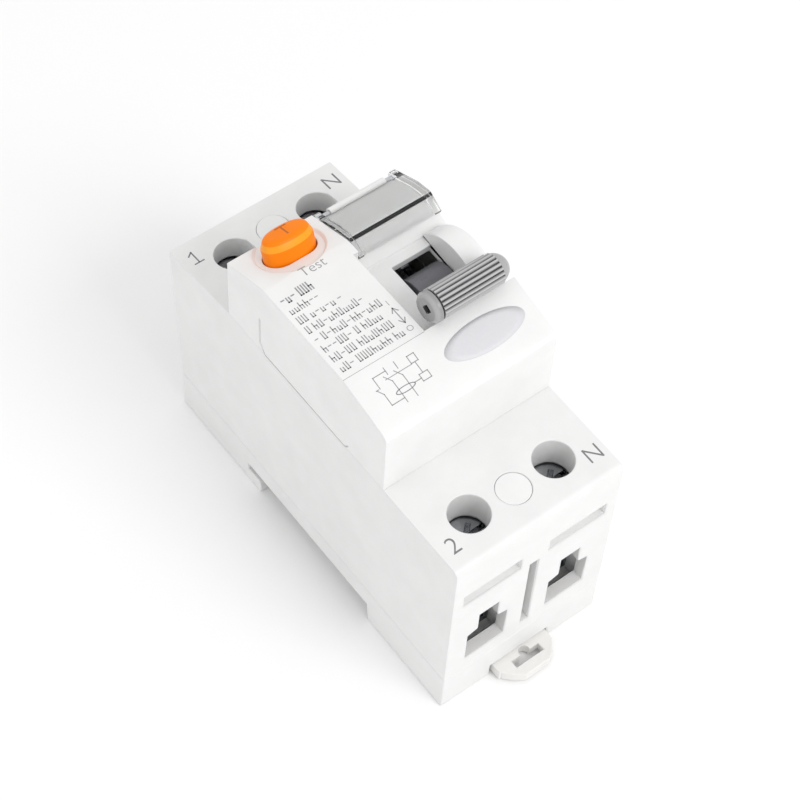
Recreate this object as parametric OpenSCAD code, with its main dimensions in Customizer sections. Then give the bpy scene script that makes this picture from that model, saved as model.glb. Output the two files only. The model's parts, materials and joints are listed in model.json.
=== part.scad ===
// Two-module residual current device for a 35 mm rail, with test button, toggle handle,
// flip window and four screw clamp terminals.
// X runs across the poles, +Y towards the supply terminals, +Z out of the front.
// The origin is the centre of the rail seat.

/* [Housing] */
// Width of one module on the rail
module_w = 18; // [17.5:0.1:18]
// End of the supply side, measured from the rail centre
supply_end = 41.75; // [41:0.05:43]
// End of the load side, measured from the rail centre
load_end = 42.1; // [41:0.05:43]
// Height of the terminal decks above the rail seat
deck_z = 43.5; // [43.2:0.1:44]
// Height of the nose above the rail seat
nose_z = 61.9; // [61.5:0.1:62.4]
// Outside wall of the case
wall = 1.8; // [1.5:0.1:2]

/* [Rail slot] */
// Depth of the slot from the back face to the rail seat
slot_d = 5; // [4.9:0.1:5.2]
// Distance from the rail centre to the tip of the fixed hook
hook_y = 13.9; // [13.5:0.1:14.2]
// Distance from the rail centre to the sprung side of the slot
slot_y = 19.4; // [19:0.1:19.8]
// Travel of the sprung rail clip
clip_travel = 4; // [3:0.5:4]

/* [Toggle] */
// Height of the toggle's pivot above the rail seat
pivot_z = 52.1; // [52:0.05:52.2]
// Distance from the pivot to the grip's centre line
grip_reach = 15.7; // [15.4:0.1:15.9]
// Radius of the grip
grip_r = 3; // [2.8:0.1:3.1]
// Lean of the grip from upright when off
off_angle = 32.8; // [32:0.1:33]
// Swing of the toggle from off to on
swing = 60; // [56:1:60]

/* [Terminals] */
// Distance from the middle to each pole
pole_x = 9.12; // [9:0.01:9.2]
// Distance from the rail centre to each terminal screw
screw_y = 33.9; // [33.5:0.1:34]
// Diameter of each screwdriver hole
access_d = 7.5; // [7:0.1:7.6]
// Lift of each clamp cage from open to closed
cage_lift = 7.2; // [5:0.1:7.2]

/* [Test button] */
// Distance from the middle to the button
button_x = 8.4; // [8.2:0.1:8.6]
// Travel of the button
button_travel = 1.6; // [1:0.1:1.8]

/* [Hidden] */
$fn = 48;

gap = 0.05;
reach = 1;
half_w = module_w;
back_z = -slot_d;
base_z = 5;
cover_z = 43.6;
supply_back = supply_end - 1.85;
deck_edge_z = deck_z - 2.3;
nose_load_y = 22;
nose_supply_y = 22.97;
ridge_y = 12.8;
ridge_end_z = 58;
crest_y = -10;
ramp_angle = atan2(nose_z - 0.1 - ridge_end_z, nose_supply_y - ridge_y);
shell = 1.6;

crank_r = 4.2;
crank_y = crank_r * sin(off_angle);
crank_z = pivot_z - crank_r * cos(off_angle);
carrier_ratio = 3;
arm_r = 12;
arm_angle = off_angle / carrier_ratio;
carrier_swing = swing / carrier_ratio;
link_l = 8;
joint_y = crank_y + link_l;
carrier_y = joint_y - arm_r * sin(arm_angle);
carrier_z = crank_z - arm_r * cos(arm_angle);
mech_x = 8.8;
drum_r = 5.2;
shaft_r = 1.25;

contact_y = 14.5;
contact_z = 22.5;
bar_z = 18;
bar_t = 1.4;
bar_w = 7;
core_y = -14;
core_z = 18.6;
core_r = 11.4;
core_hole_r = 6;
core_w = 9;
slot_x0 = 4.6;
slot_x1 = 13;
valley_z = 57.3;
recess = 1.9;
hinge_y = 22;
hinge_z = 57.1;
window_x0 = 0.1;
window_x1 = 17.8;
trip_y = -4;
trip_z = 41;
button_y = 18.2;
relay_x0 = -half_w + wall;
relay_x1 = -1.5;
relay_y0 = -20;
relay_y1 = -9.4;
relay_z0 = 31;
relay_z1 = 46;
plunger_x = -8.4;
plunger_z = trip_z - 7;
strip_y = 14.5;
strip_z = 49.2;

// A flat outline in Y and Z, drawn as solid from x0 to x1
module along_x(x0, x1) {
  translate([x0, 0, 0]) rotate([90, 0, 90]) linear_extrude(x1 - x0) children();
}

// A flat outline in X and Z, drawn as solid from y0 to y1
module along_y(y0, y1) {
  translate([0, y1, 0]) rotate([90, 0, 0]) linear_extrude(y1 - y0) children();
}

// A straight block between two corners
module block(low, high) {
  translate(low) cube(high - low);
}

// A round bar along X, centred at y and z
module rod_x(x0, x1, y, z, r) {
  translate([x0, y, z]) rotate([0, 90, 0]) cylinder(h = x1 - x0, r = r);
}

// A round bar along Y, centred at x and z
module rod_y(y0, y1, x, z, r) {
  translate([x, y0, z]) rotate([-90, 0, 0]) cylinder(h = y1 - y0, r = r);
}

// An upright round bar
module rod_z(z0, z1, x, y, r) {
  translate([x, y, z0]) cylinder(h = z1 - z0, r = r);
}

// Turns its children about a line along X
module about_x(angle, y, z) {
  translate([0, y, z]) rotate([angle, 0, 0]) translate([0, -y, -z]) children();
}

// The same shape at both poles
module both_poles() {
  for (side = [-1, 1]) translate([side * pole_x, 0, 0]) children();
}

// The same shape at both ends
module both_ends() {
  children();
  mirror([0, 1, 0]) children();
}

// One ring per turn, from a start along +Z
module coil(r, wire_r, length, turns) {
  for (i = [0:turns - 1])
    translate([0, 0, wire_r + i * (length - 2 * wire_r) / (turns - 1)])
      rotate_extrude() translate([r, 0]) circle(r = wire_r, $fn = 16);
}

// Points along an arc in Y and Z
function arc(y, z, r, a0, a1, steps) = [
  for (i = [0:steps]) let (a = a0 + (a1 - a0) * i / steps) [y + r * cos(a), z + r * sin(a)]
];

// Side outline of the case, from its joint with the base up to the decks
module case_outline() {
  polygon(concat(
    [[supply_back, base_z], [supply_end, deck_edge_z]],
    [[nose_supply_y, deck_z], [nose_supply_y, cover_z - 0.1]],
    [[-nose_load_y, cover_z - 0.1], [-nose_load_y - 0.5, deck_z]],
    arc(-load_end + 1.4, deck_z - 1.4, 1.4, 90, 180, 6),
    [[-load_end, base_z]]
  ));
}

// Side outline of the nose, sunk evenly by the given depth
module nose_outline(sink = 0) {
  polygon([
    [nose_supply_y - sink, cover_z - 0.1 - (sink > 0 ? reach : 0)],
    [nose_supply_y - sink, ridge_end_z - sink * 0.7],
    [ridge_y - sink * 0.2, nose_z - 0.1 - sink],
    [ridge_y - 1 - sink * 0.2, nose_z - sink],
    [crest_y, nose_z - sink],
    [crest_y - 3.6, nose_z - 0.9 - sink],
    [crest_y - 7.75, nose_z - 1.85 - sink],
    [-nose_load_y + 1.3 + sink, nose_z - 2.7 - sink],
    [-nose_load_y + 0.5 + sink, nose_z - 3.1 - sink],
    [-nose_load_y + 0.1 + sink, nose_z - 3.8 - sink],
    [-nose_load_y + sink, cover_z - 0.1 - (sink > 0 ? reach : 0)]
  ]);
}

// Moves to the button's middle on the ramp, with +Z out of the ramp
module on_ramp() {
  translate([-button_x, button_y, nose_z - 0.1 - (button_y - ridge_y) * tan(ramp_angle)])
    rotate([-ramp_angle, 0, 0]) children();
}

// An upright solid with two round ends
module oval(w, d, h) {
  for (side = [-1, 1]) translate([side * (w - d) / 2, 0, 0]) cylinder(h = h, d = d);
  translate([-(w - d) / 2, -d / 2, 0]) cube([w - d, d, h]);
}

module rear_base() {
  plate_z = 2;
  channel_x = 6.7;
  groove_x = 9;
  color([0.93, 0.93, 0.92]) difference() {
    along_x(-half_w, half_w) polygon([
      [supply_back, base_z], [supply_back, back_z], [hook_y, back_z], [hook_y, back_z + 2],
      [hook_y + 0.6, back_z + 3.2], [hook_y + 3.9, back_z + 3.2], [hook_y + 4.2, 0],
      [-slot_y, 0], [-slot_y - 0.5, back_z], [-load_end, back_z], [-load_end, base_z]
    ]);
    block([-half_w + wall, -28, plate_z], [half_w - wall, 28, base_z + reach]);
    block([-channel_x, -load_end - reach, back_z - reach], [channel_x, -slot_y + 6, back_z + 1.3]);
    block([-groove_x, -39, back_z + 1.1], [groove_x, -21.8, -1.5]);
    block([-channel_x, -39, back_z], [channel_x, -slot_y + 6, -1.5]);
    block([-channel_x, -load_end - reach, back_z + 1.1], [channel_x, -38.9, -1.9]);
    both_ends() rod_z(-1.2, base_z + reach, 0, 34.4, 1.3);
    for (x = [-12, 12]) block([x - 2.6, 22.5, back_z - reach], [x + 2.6, 37.5, -2]);
  }
  color([0.93, 0.93, 0.92]) {
    block([-1.6, -33.8, -3.9], [1.6, -32, -1.4]);
    block([-4, core_y - 3, plate_z - 0.1], [4, core_y + 3, core_z - core_r + 0.3]);
  }
}

// Space inside one terminal, from the wire window to the inner wall
module terminal_space() {
  inner_x = 5.2;
  both_ends() both_poles() {
    block([-inner_x, 29.6, base_z - reach], [inner_x, 39.4, 36.4]);
    rod_z(36, deck_z + reach, 0, screw_y, access_d / 2);
  }
}

// Funnel of one wire window, straight through the end wall
module wire_window() {
  low_z = 8.9;
  high_z = 17.25;
  notch_z = 22.7;
  half_wide = 4.4;
  half_notch = 2.2;
  both_ends() both_poles() {
    along_y(39, 44) polygon([
      [-half_wide, low_z], [half_wide, low_z], [half_wide, high_z], [half_notch, high_z + 0.6],
      [half_notch, notch_z], [-half_notch, notch_z], [-half_notch, high_z + 0.6], [-half_wide, high_z]
    ]);
  }
}

module main_case() {
  label_slot_z = 30.2;
  outer_slot_x = 3.1;
  slot_far_x = 15.6;
  color([0.96, 0.96, 0.955]) difference() {
    along_x(-half_w, half_w) case_outline();
    block([-half_w + wall, -28.6, base_z - reach], [half_w - wall, 28.6, 41.7]);
    block([-half_w + wall, -nose_load_y + 1.6, 41], [half_w - wall, nose_supply_y - 1.6, cover_z + reach]);
    terminal_space();
    wire_window();
    both_ends() for (x = [outer_slot_x, -slot_far_x])
      block([x, 40.3, label_slot_z], [x + slot_far_x - outer_slot_x, 44, label_slot_z + 3.2]);
    both_ends() block([-0.9, 37, 8.2], [0.9, 44, 29.3]);
    both_ends() rod_z(base_z - reach, deck_z + reach, 0, 34.4, 1.7);
    both_ends() rod_z(38, deck_z + reach, 0, 34.4, 3.25);
    for (y = [-30, 30]) for (x = [-pole_x, pole_x])
      block([x - bar_w / 2 - 0.1, y - 2, bar_z - 0.1], [x + bar_w / 2 + 0.1, y + 2, bar_z + bar_t + 0.1]);
    along_x(-half_w - reach, -half_w + 0.3) polygon([
      [13.3, 52], [13.3, 45.8], [11.9, 43.6], [-11, 43.6], [-12.1, 44.6], [-12.1, 44.2],
      [-11.1, 43.2], [12.1, 43.2], [13.7, 45.6], [13.7, 52]
    ]);
  }
}

// The hollow around the toggle, with its slanted ends
module valley() {
  left_x = -1.2;
  intersection() {
    along_x(-5, half_w + reach) polygon([
      [9.6, nose_z + 2], [9.6, nose_z - 1.9], [8.2, valley_z], [-9.6, valley_z], [crest_y, nose_z + 2]
    ]);
    along_y(-15, 15) polygon([
      [left_x, nose_z + 2], [left_x, nose_z], [left_x + 1.6, valley_z - reach],
      [half_w + reach, valley_z - reach], [half_w + reach, nose_z + 2]
    ]);
  }
}

// The round cheek to the right of the toggle
module cheek() {
  rounding = 2;
  intersection() {
    at_cheek() rotate_extrude($fn = 96)
      polygon(concat([[0, 0], [0, 5]], arc(9.1 - rounding, 5 - rounding, rounding, 90, 0, 5), [[9.1, 0]]));
    block([slot_x1, -12, valley_z - 2], [half_w, 12, nose_z + 3]);
  }
}

// Moves to the cheek's middle, with +Z along its axis
module at_cheek() {
  translate([slot_x1, 0.5, pivot_z + 1.2]) rotate([0, 90, 0]) children();
}

module front_cover() {
  pocket_x0 = -0.1;
  color([0.97, 0.97, 0.965]) difference() {
    union() {
      difference() {
        along_x(-half_w, half_w) nose_outline();
        difference() {
          along_x(-half_w + shell, half_w - shell) nose_outline(shell);
          block([-3, -12, valley_z - shell], [half_w, 11.4, nose_z]);
          block([-1.4, 9, ridge_end_z - 3.2], [half_w, nose_supply_y, nose_z]);
          on_ramp() translate([0, 0, -3]) cylinder(h = 3, r = 7.6);
          on_ramp() block([-9, -3.1, -9.6], [4, 3.1, -8.7]);
        }
        valley();
        translate([0, 0, -recess]) along_x(pocket_x0, half_w + reach) recess_outline();
        for (x = [pocket_x0, window_x1 - 1.5]) rod_x(x, x + 1.6, hinge_y, hinge_z, 1.4);
      }
      cheek();
      rod_x(3, 15, hinge_y, hinge_z, 0.95);
    }
    block([slot_x0, -6.3, 48], [slot_x1, 6.3, 60]);
    on_ramp() translate([0, 0, -0.5]) cylinder(h = 3, r1 = 6.1, r2 = 9);
    on_ramp() translate([0, 0, -7]) oval(10.3, 6.3, 12);
    on_ramp() translate([0, 0, -12]) cylinder(h = 6, r = 1.3);
    rod_x(window_x0 - 2, half_w + reach, hinge_y, hinge_z, 0.6);
    along_x(-half_w - reach, -half_w + 0.3) polygon([
      [13.3, 52.4], [13.3, 45.8], [11.9, 43.6], [-11, 43.6], [-12.1, 44.7], [-12.1, 44.3],
      [-11.1, 43], [12.1, 43], [13.7, 45.6], [13.7, 52.4]
    ]);
  }
}

// Everything above the floor of the window's recess
module recess_outline() {
  polygon([
    [hinge_y + 3, ridge_end_z - 1.2], [16.4, nose_z - 0.9], [ridge_y, nose_z + 0.1], [11, nose_z - 1.2],
    [8, nose_z - 2.5], [8, nose_z + 6], [hinge_y + 3, nose_z + 6]
  ]);
}

module deck_plugs() {
  color([0.95, 0.95, 0.945]) for (plug = [[34.4, 41.95], [-34.4, 43.35]])
    rod_z(40.8, plug[1], 0, plug[0], 3.2);
}

module case_screws() {
  color([0.7, 0.7, 0.72]) both_ends() difference() {
    union() {
      rod_z(38.1, 40.6, 0, 34.4, 2.9);
      rod_z(-1.1, 38.2, 0, 34.4, 1.25);
    }
    for (turn = [0, 90])
      translate([0, 34.4, 40]) rotate([0, 0, turn]) translate([-1.8, -0.4, 0]) cube([3.6, 0.8, 1]);
  }
}

module rail_clip() {
  tab_t = 2.4;
  z0 = back_z + 0.35;
  tongue_y = -15.4;
  thick_end = -38.6 + clip_travel;
  color([0.94, 0.93, 0.92]) difference() {
    union() {
      along_x(-6.2, 6.2) polygon([
        [-44.2, z0], [-slot_y - 1.5, z0], [-slot_y + 2.2, z0], [tongue_y, -1.75 - 0.6], [tongue_y, -1.75],
        [-slot_y + 2, -1.7], [thick_end, -1.7], [thick_end, z0 + tab_t], [-44.2, z0 + tab_t]
      ]);
      block([-8.7, -30, z0 + 1.05], [8.7, -22, -1.7]);
      translate([0, 0, z0]) linear_extrude(tab_t) polygon([
        [-6.2, -43], [-5.6, -44.6], [-4, -46.3], [-2.4, -47.3],
        [3.2, -47.3], [4.6, -46.3], [5.8, -44.6], [6.2, -43]
      ]);
    }
    block([-2.3, -38.2, back_z - reach], [2.3, -22.4, 0]);
    rod_z(back_z, 0, 0.3, -43.2, 1.1);
    block([-2.8, -45, back_z], [3.4, -43.5, 0]);
  }
}

module clip_spring() {
  color([0.75, 0.76, 0.78]) translate([0, -31.9, -2.95]) rotate([-90, 0, 0])
    coil(0.95, 0.2, 9.4, 12, $fn = 24);
}

module flip_window() {
  skin = 1.1;
  flange = 1.2;
  color([0.8, 0.85, 0.82, 0.4]) difference() {
    union() {
      along_x(window_x0, window_x1) polygon([
        [20.6, nose_z - 2.93], [16.4, nose_z - 0.9], [ridge_y, nose_z + 0.1], [9.6, nose_z - 1.9],
        [9.75, nose_z - 2.6], [12.5, nose_z + 0.1 - skin], [16, nose_z - 0.8 - skin],
        [20.6, nose_z - 2.93 - skin]
      ]);
      for (x = [window_x0, window_x1 - flange]) {
        along_x(x, x + flange) polygon([
          [hinge_y + 0.6, 58], [16.4, nose_z - 0.9], [ridge_y, nose_z + 0.1], [9.6, nose_z - 1.9],
          [9.8, nose_z - 2.6], [13, nose_z - 1.75], [16.6, nose_z - 2.7], [hinge_y - 1.2, hinge_z + 0.1]
        ]);
        rod_x(x, x + flange, hinge_y, hinge_z, 1.1);
      }
    }
    rod_x(window_x0 - reach, window_x1 + reach, hinge_y, hinge_z, 0.62);
  }
}

module window_pin() {
  color([0.75, 0.76, 0.78]) rod_x(window_x0 - 1.8, window_x1 - 0.1, hinge_y, hinge_z, 0.55);
}

module label_card() {
  color([0.83, 0.84, 0.82]) along_x(window_x0 + 1.5, window_x1 - 1.5) polygon([
    [20.4, 57.45], [16.4, nose_z - 2.75], [ridge_y + 0.4, nose_z - 1.85], [ridge_y + 0.4, nose_z - 1.6],
    [16.4, nose_z - 2.4], [20.4, 57.8]
  ]);
}

// Corner of the handle's own frame: the pivot, with +Z towards the grip
module at_grip() {
  translate([0, 0, pivot_z]) rotate([off_angle, 0, 0]) children();
}

// Room that the link sweeps through in the handle as it swings
module link_sweep() {
  clear = 1.1;
  far = 9;
  aside = clear * [-sin(swing), cos(swing)];
  along_x(mech_x - clear, mech_x + clear) translate([crank_y, crank_z])
    polygon([[0, 0], aside, aside + far * [cos(swing), sin(swing)], [far, far - 1], [far, 0]]);
}

module toggle_handle() {
  grip_x0 = 0.2;
  grip_x1 = 17;
  flank = 1.1;
  ribs = 11;
  first_rib = 45;
  rib_step = 17.7;
  color([0.5, 0.5, 0.52]) difference() {
    union() {
      at_grip() {
        for (drop = [0, flank]) {
          rod_x(grip_x0, grip_x1 - grip_r + 0.3, 0, grip_reach - drop, grip_r - 0.25);
          translate([grip_x1 - grip_r + 0.25, 0, grip_reach - drop]) rotate([0, 90, 0])
            rotate_extrude() intersection() {
              circle(r = grip_r - 0.25);
              square([grip_r, grip_r]);
            }
        }
        block(
          [grip_x0 + 0.1, -grip_r + 0.4, grip_reach - flank],
          [grip_x1 - grip_r, grip_r - 0.4, grip_reach]
        );
        for (i = [0:ribs - 1]) {
          angle = first_rib - i * rib_step;
          translate([0, 0, grip_reach]) rotate([angle, 0, 0])
            rod_x(grip_x0 + 0.7, grip_x1 - 2.2, 0, grip_r - 0.32, 0.32, $fn = 16);
        }
        along_x(slot_x0 + 0.8, slot_x1 - 0.8) polygon([
          [-1.7, 0], [-1.7, drum_r], [-1.2, grip_reach - 1], [1.2, grip_reach - 1], [1.7, drum_r], [1.7, 0]
        ]);
      }
      rod_x(slot_x0 + 0.8, slot_x1 - 0.3, 0, pivot_z, drum_r);
    }
    rod_x(0, half_w, 0, pivot_z, shaft_r);
    rod_x(0, half_w, crank_y, crank_z, 0.75 + gap);
    block([mech_x - 1.1, -7, crank_z - 4], [mech_x + 1.1, 7, crank_z + 2.1]);
    link_sweep();
    at_grip() block([grip_x0 - reach, -0.6, grip_reach - 1.1], [grip_x0 + 2.2, 0.6, grip_reach + 0.5]);
  }
}

module handle_shaft() {
  color([0.72, 0.73, 0.75]) difference() {
    rod_x(1.4, 15.4, 0, pivot_z, shaft_r);
    block([1, -0.3, pivot_z - 0.3], [1.9, 0.3, pivot_z + 2]);
  }
}

module handle_spring() {
  color([0.75, 0.76, 0.78]) {
    translate([1.5, 0, pivot_z]) rotate([0, 90, 0]) coil(shaft_r + 0.4, 0.22, 1.7, 3, $fn = 24);
    block([2.8, shaft_r + 0.25, pivot_z - 6], [3.15, shaft_r + 0.55, pivot_z]);
  }
}

module toggle_link() {
  color([0.78, 0.79, 0.8]) difference() {
    union() {
      rod_x(mech_x - 0.9, mech_x + 0.9, crank_y, crank_z, 1.5);
      block([mech_x - 0.9, crank_y, crank_z - 0.8], [mech_x + 0.9, joint_y, crank_z + 0.8]);
      rod_x(mech_x - 2.6, mech_x + 2.6, joint_y, crank_z, 0.8);
    }
    rod_x(0, half_w, crank_y, crank_z, 0.75 + gap);
  }
}

module link_pin() {
  color([0.72, 0.73, 0.75]) rod_x(slot_x0 + 0.9, slot_x1 - 0.4, crank_y, crank_z, 0.75);
}

module mechanism_frame() {
  plate = 0.8;
  color([0.74, 0.75, 0.77]) {
    for (x = [slot_x0 - 1.2, slot_x1 + 0.4])
      difference() {
        along_x(x, x + plate) polygon([
          [-8, 36], [12, 31], [12, 40], [3.2, 49], [3, 54.6], [-3, 54.6], [-3.2, 49], [-8, 44]
        ]);
        rod_x(x - reach, x + 2, 0, pivot_z, shaft_r + gap);
        rod_x(x - reach, x + 2, carrier_y, carrier_z, x < mech_x ? 2.9 : 1 + gap);
        rod_x(x - reach, x + 2, trip_y, trip_z, x < mech_x ? 2.2 : 0.8 + gap);
      }
    block([slot_x0 - 0.5, -8, 36], [slot_x1 + 0.5, -7.2, 44]);
  }
}

// A slotted fork that the link's cross pin slides in
module fork(x) {
  difference() {
    along_x(x, x + 1.1) polygon([
      [carrier_y - 2.4, carrier_z], [joint_y - 1.6, crank_z + 1], [joint_y + 2.2, crank_z + 1],
      [carrier_y + 2.6, carrier_z]
    ]);
    block([x - reach, joint_y - 1.02, crank_z - 1.8], [x + 2, joint_y + 1.02, crank_z + 3]);
  }
}

module contact_carrier() {
  color([0.16, 0.17, 0.2]) difference() {
    union() {
      rod_x(-half_w + 4.6, half_w - 5, carrier_y, carrier_z, 2.6);
      fork(mech_x - 2.4);
      fork(mech_x + 1.3);
      both_poles() about_x(-carrier_swing, carrier_y, carrier_z) {
        block([-3.2, carrier_y - 0.2, carrier_z - 8.6], [3.2, carrier_y + 2.2, carrier_z]);
        block([-3.2, carrier_y, carrier_z - 3.9], [3.2, contact_y, carrier_z - 2]);
      }
    }
    rod_x(-half_w, half_w, carrier_y, carrier_z, 1 + gap);
  }
}

module carrier_shaft() {
  color([0.72, 0.73, 0.75]) rod_x(-half_w + wall, half_w - wall, carrier_y, carrier_z, 1);
}

module moving_contacts() {
  color([0.8, 0.5, 0.35]) both_poles() about_x(-carrier_swing, carrier_y, carrier_z) {
    block([-2.4, contact_y - 2.1, contact_z - 2.6], [2.4, contact_y - 1, carrier_z - 4]);
    rod_y(contact_y - 1, contact_y - 0.1, 0, contact_z, 1.9);
  }
}

module contact_springs() {
  color([0.75, 0.76, 0.78]) both_poles() about_x(-carrier_swing, carrier_y, carrier_z)
    translate([0, carrier_y + 2.25, carrier_z - 6.8]) rotate([-90, 0, 0])
      coil(1.2, 0.2, contact_y - 2.15 - carrier_y - 2.25, 4, $fn = 24);
}

module supply_bars() {
  color([0.8, 0.5, 0.35]) both_poles() {
    block([-bar_w / 2, 16.4, bar_z], [bar_w / 2, 38, bar_z + bar_t]);
    block([-bar_w / 2, contact_y + 0.9, bar_z], [bar_w / 2, 16.5, contact_z + 3]);
    rod_y(contact_y + 0.05, contact_y + 0.95, 0, contact_z, 1.9);
  }
}

module load_bars() {
  color([0.8, 0.5, 0.35]) both_poles() block([-bar_w / 2, -38, bar_z], [bar_w / 2, -25, bar_z + bar_t]);
}

// Insulated wires from the load bars, through the core, to the braids
module conductors() {
  wire_r = 1.5;
  entry_y = -23.5;
  exit_y = -5;
  inner_x = 2.4;
  axis_z = bar_z + bar_t + wire_r;
  elbow = wire_r + 0.15;
  color([0.15, 0.3, 0.6]) for (side = [0, 1]) mirror([side, 0, 0]) {
    rod_y(-28.4, entry_y, pole_x, axis_z, wire_r);
    rod_y(entry_y, exit_y, inner_x, axis_z, wire_r);
    for (y = [entry_y, exit_y]) {
      rod_x(inner_x, pole_x, y, axis_z, wire_r);
      for (x = [inner_x, pole_x]) rod_z(axis_z - wire_r, axis_z + elbow, x, y, elbow);
    }
  }
}

module braids() {
  color([0.78, 0.45, 0.3]) both_poles() rod_y(-3.3, 6.5, 0, bar_z + bar_t + 1.5, 1.2);
}

module transformer_core() {
  color([0.35, 0.36, 0.4]) translate([0, core_y - core_w / 2, core_z]) rotate([-90, 0, 0]) difference() {
    cylinder(h = core_w, r = core_r - 1);
    translate([0, 0, -reach]) cylinder(h = core_w + 2 * reach, r = core_hole_r);
  }
}

// Wound bands around the ring core, with a gap at its top
module secondary_winding() {
  band = 0.6;
  bands = 9;
  color([0.72, 0.35, 0.15]) translate([0, core_y, core_z]) rotate([-90, 0, 0]) for (i = [0:bands - 1])
    rotate([0, 0, 120 + i * 34]) rotate_extrude(angle = 26) difference() {
      translate([core_hole_r - band, -core_w / 2 - band])
        square([core_r - 1 - core_hole_r + 2 * band, core_w + 2 * band]);
      translate([core_hole_r, -core_w / 2]) square([core_r - 1 - core_hole_r, core_w]);
    }
}

module relay_case() {
  color([0.2, 0.2, 0.22]) difference() {
    block([relay_x0, relay_y0, relay_z0], [relay_x1, relay_y1, relay_z1]);
    rod_y(relay_y0 + 3, relay_y1 + reach, plunger_x, plunger_z, 1.05);
  }
}

module relay_plunger() {
  color([0.8, 0.8, 0.82]) {
    rod_y(relay_y0 + 3.2, trip_y - 1.7, plunger_x, plunger_z, 1);
    rod_y(trip_y - 2, trip_y - 1.35, plunger_x, plunger_z, 0.5);
  }
}

module trip_lever() {
  color([0.9, 0.85, 0.6]) difference() {
    union() {
      rod_x(-12, slot_x1 - 0.2, trip_y, trip_z, 1.9);
      block([-10.4, trip_y - 1, trip_z - 9], [-6.4, trip_y + 1, trip_z]);
      block([mech_x - 1.6, trip_y - 1, trip_z], [mech_x + 1.6, trip_y + 1, trip_z + 4.6]);
    }
    rod_x(-half_w, half_w, trip_y, trip_z, 0.8 + gap);
  }
}

module trip_shaft() {
  color([0.72, 0.73, 0.75]) rod_x(-half_w + wall, half_w - wall, trip_y, trip_z, 0.8);
}

module circuit_board() {
  color([0.1, 0.4, 0.2]) block([-half_w + wall, -6, 6], [-14.5, 12, 30]);
}

module board_parts() {
  color([0.2, 0.3, 0.6]) {
    rod_x(-14.5, -13, 6, 24, 3.2);
    for (z = [10, 14]) {
      rod_y(-3, 3, -13.4, z, 0.9);
      rod_y(-4.2, 4.2, -13.4, z, 0.3, $fn = 16);
      for (y = [-4, 4]) rod_x(-14.5, -13.2, y, z, 0.3, $fn = 16);
    }
    block([-14.5, 5, 8], [-12.6, 10, 14]);
  }
}

module test_resistor() {
  color([0.8, 0.75, 0.6]) {
    rod_z(26, 36, -12, 18.6, 1.5);
    rod_z(bar_z + bar_t, 39.8, -12, 18.6, 0.3, $fn = 16);
  }
}

module test_strip() {
  color([0.8, 0.5, 0.35]) {
    block([-button_x - 2, -1, strip_z - 0.4], [-button_x + 2, strip_y + 1, strip_z]);
    block([-button_x - 2, -1, 41], [-button_x + 2, -0.6, strip_z]);
    block([-half_w + wall, -1, 41], [-button_x + 2, 1.5, 41.6]);
  }
}

module test_contact() {
  color([0.8, 0.5, 0.35]) {
    rod_z(40.8, strip_z - 2.1, -button_x, strip_y, 1.2);
    block([-half_w + wall, 12.5, 39.8], [-button_x + 2, 19.6, 41]);
  }
}

module test_button() {
  top = 3.95;
  flat = 2;
  stem_end = -9 - button_travel;
  color([1, 0.55, 0.05]) on_ramp() {
    translate([0, 0, -6]) oval(10, 6, 6 + flat);
    hull() {
      translate([0, 0, flat - 0.1]) oval(10, 6, 0.1, $fn = 32);
      translate([0, 0, top - 0.6]) oval(9, 5.2, 0.1, $fn = 32);
      translate([0, 0, top - 0.1]) oval(8, 4.2, 0.1, $fn = 32);
    }
    translate([0, 0, stem_end]) cylinder(h = 5, r = 1);
  }
}

module button_spring() {
  color([0.75, 0.76, 0.78]) on_ramp() translate([0, 0, -8.7]) coil(1.7, 0.2, 2.6, 4, $fn = 24);
}

module screw(side, end) {
  head_r = 3.95;
  head_z = 31.2;
  head_h = 4.8;
  color([0.8, 0.81, 0.83]) translate([side * pole_x, end * screw_y, 0]) difference() {
    union() {
      translate([0, 0, head_z]) cylinder(h = head_h, r = head_r);
      translate([0, 0, bar_z + bar_t + 0.1]) cylinder(h = head_z - bar_z - bar_t, r = 2.45);
    }
    for (turn = [0, 90])
      rotate([0, 0, turn + 45]) translate([-2.6, -0.5, head_z + head_h - 2.2]) cube([5.2, 1, 3]);
    translate([-head_r - reach, -0.45, head_z + head_h - 1.2]) cube([2 * head_r + 2 * reach, 0.9, 2]);
  }
}

module cage(side, end) {
  cage_x = 4.7;
  inner_x = 3.7;
  low_z = 7;
  high_z = 29.2 - cage_lift;
  depth = 3.4;
  color([0.6, 0.61, 0.63]) translate([side * pole_x, end * screw_y, 0]) difference() {
    block([-cage_x, -depth, low_z], [cage_x, depth, high_z]);
    block([-inner_x, -depth - reach, low_z + 1.4], [inner_x, depth + reach, high_z - 1.9]);
    cylinder(h = 40, r = 2.5);
  }
}

rear_base();
main_case();
front_cover();
deck_plugs();
case_screws();
rail_clip();
clip_spring();
flip_window();
window_pin();
label_card();
toggle_handle();
handle_shaft();
handle_spring();
toggle_link();
link_pin();
mechanism_frame();
contact_carrier();
carrier_shaft();
moving_contacts();
contact_springs();
supply_bars();
load_bars();
conductors();
braids();
transformer_core();
secondary_winding();
relay_case();
relay_plunger();
trip_lever();
trip_shaft();
circuit_board();
board_parts();
test_resistor();
test_strip();
test_contact();
test_button();
button_spring();
screw(-1, 1);  // screw_1
screw(1, 1);  // screw_n_supply
screw(-1, -1);  // screw_2
screw(1, -1);  // screw_n_load
cage(-1, 1);  // cage_1
cage(1, 1);  // cage_n_supply
cage(-1, -1);  // cage_2
cage(1, -1);  // cage_n_load
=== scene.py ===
"""Looks for a rail-mounted residual current device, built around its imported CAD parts.
Lengths are in metres."""

import json
import math

import bmesh
import bpy
import numpy as np
from mathutils import Matrix, Vector

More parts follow.
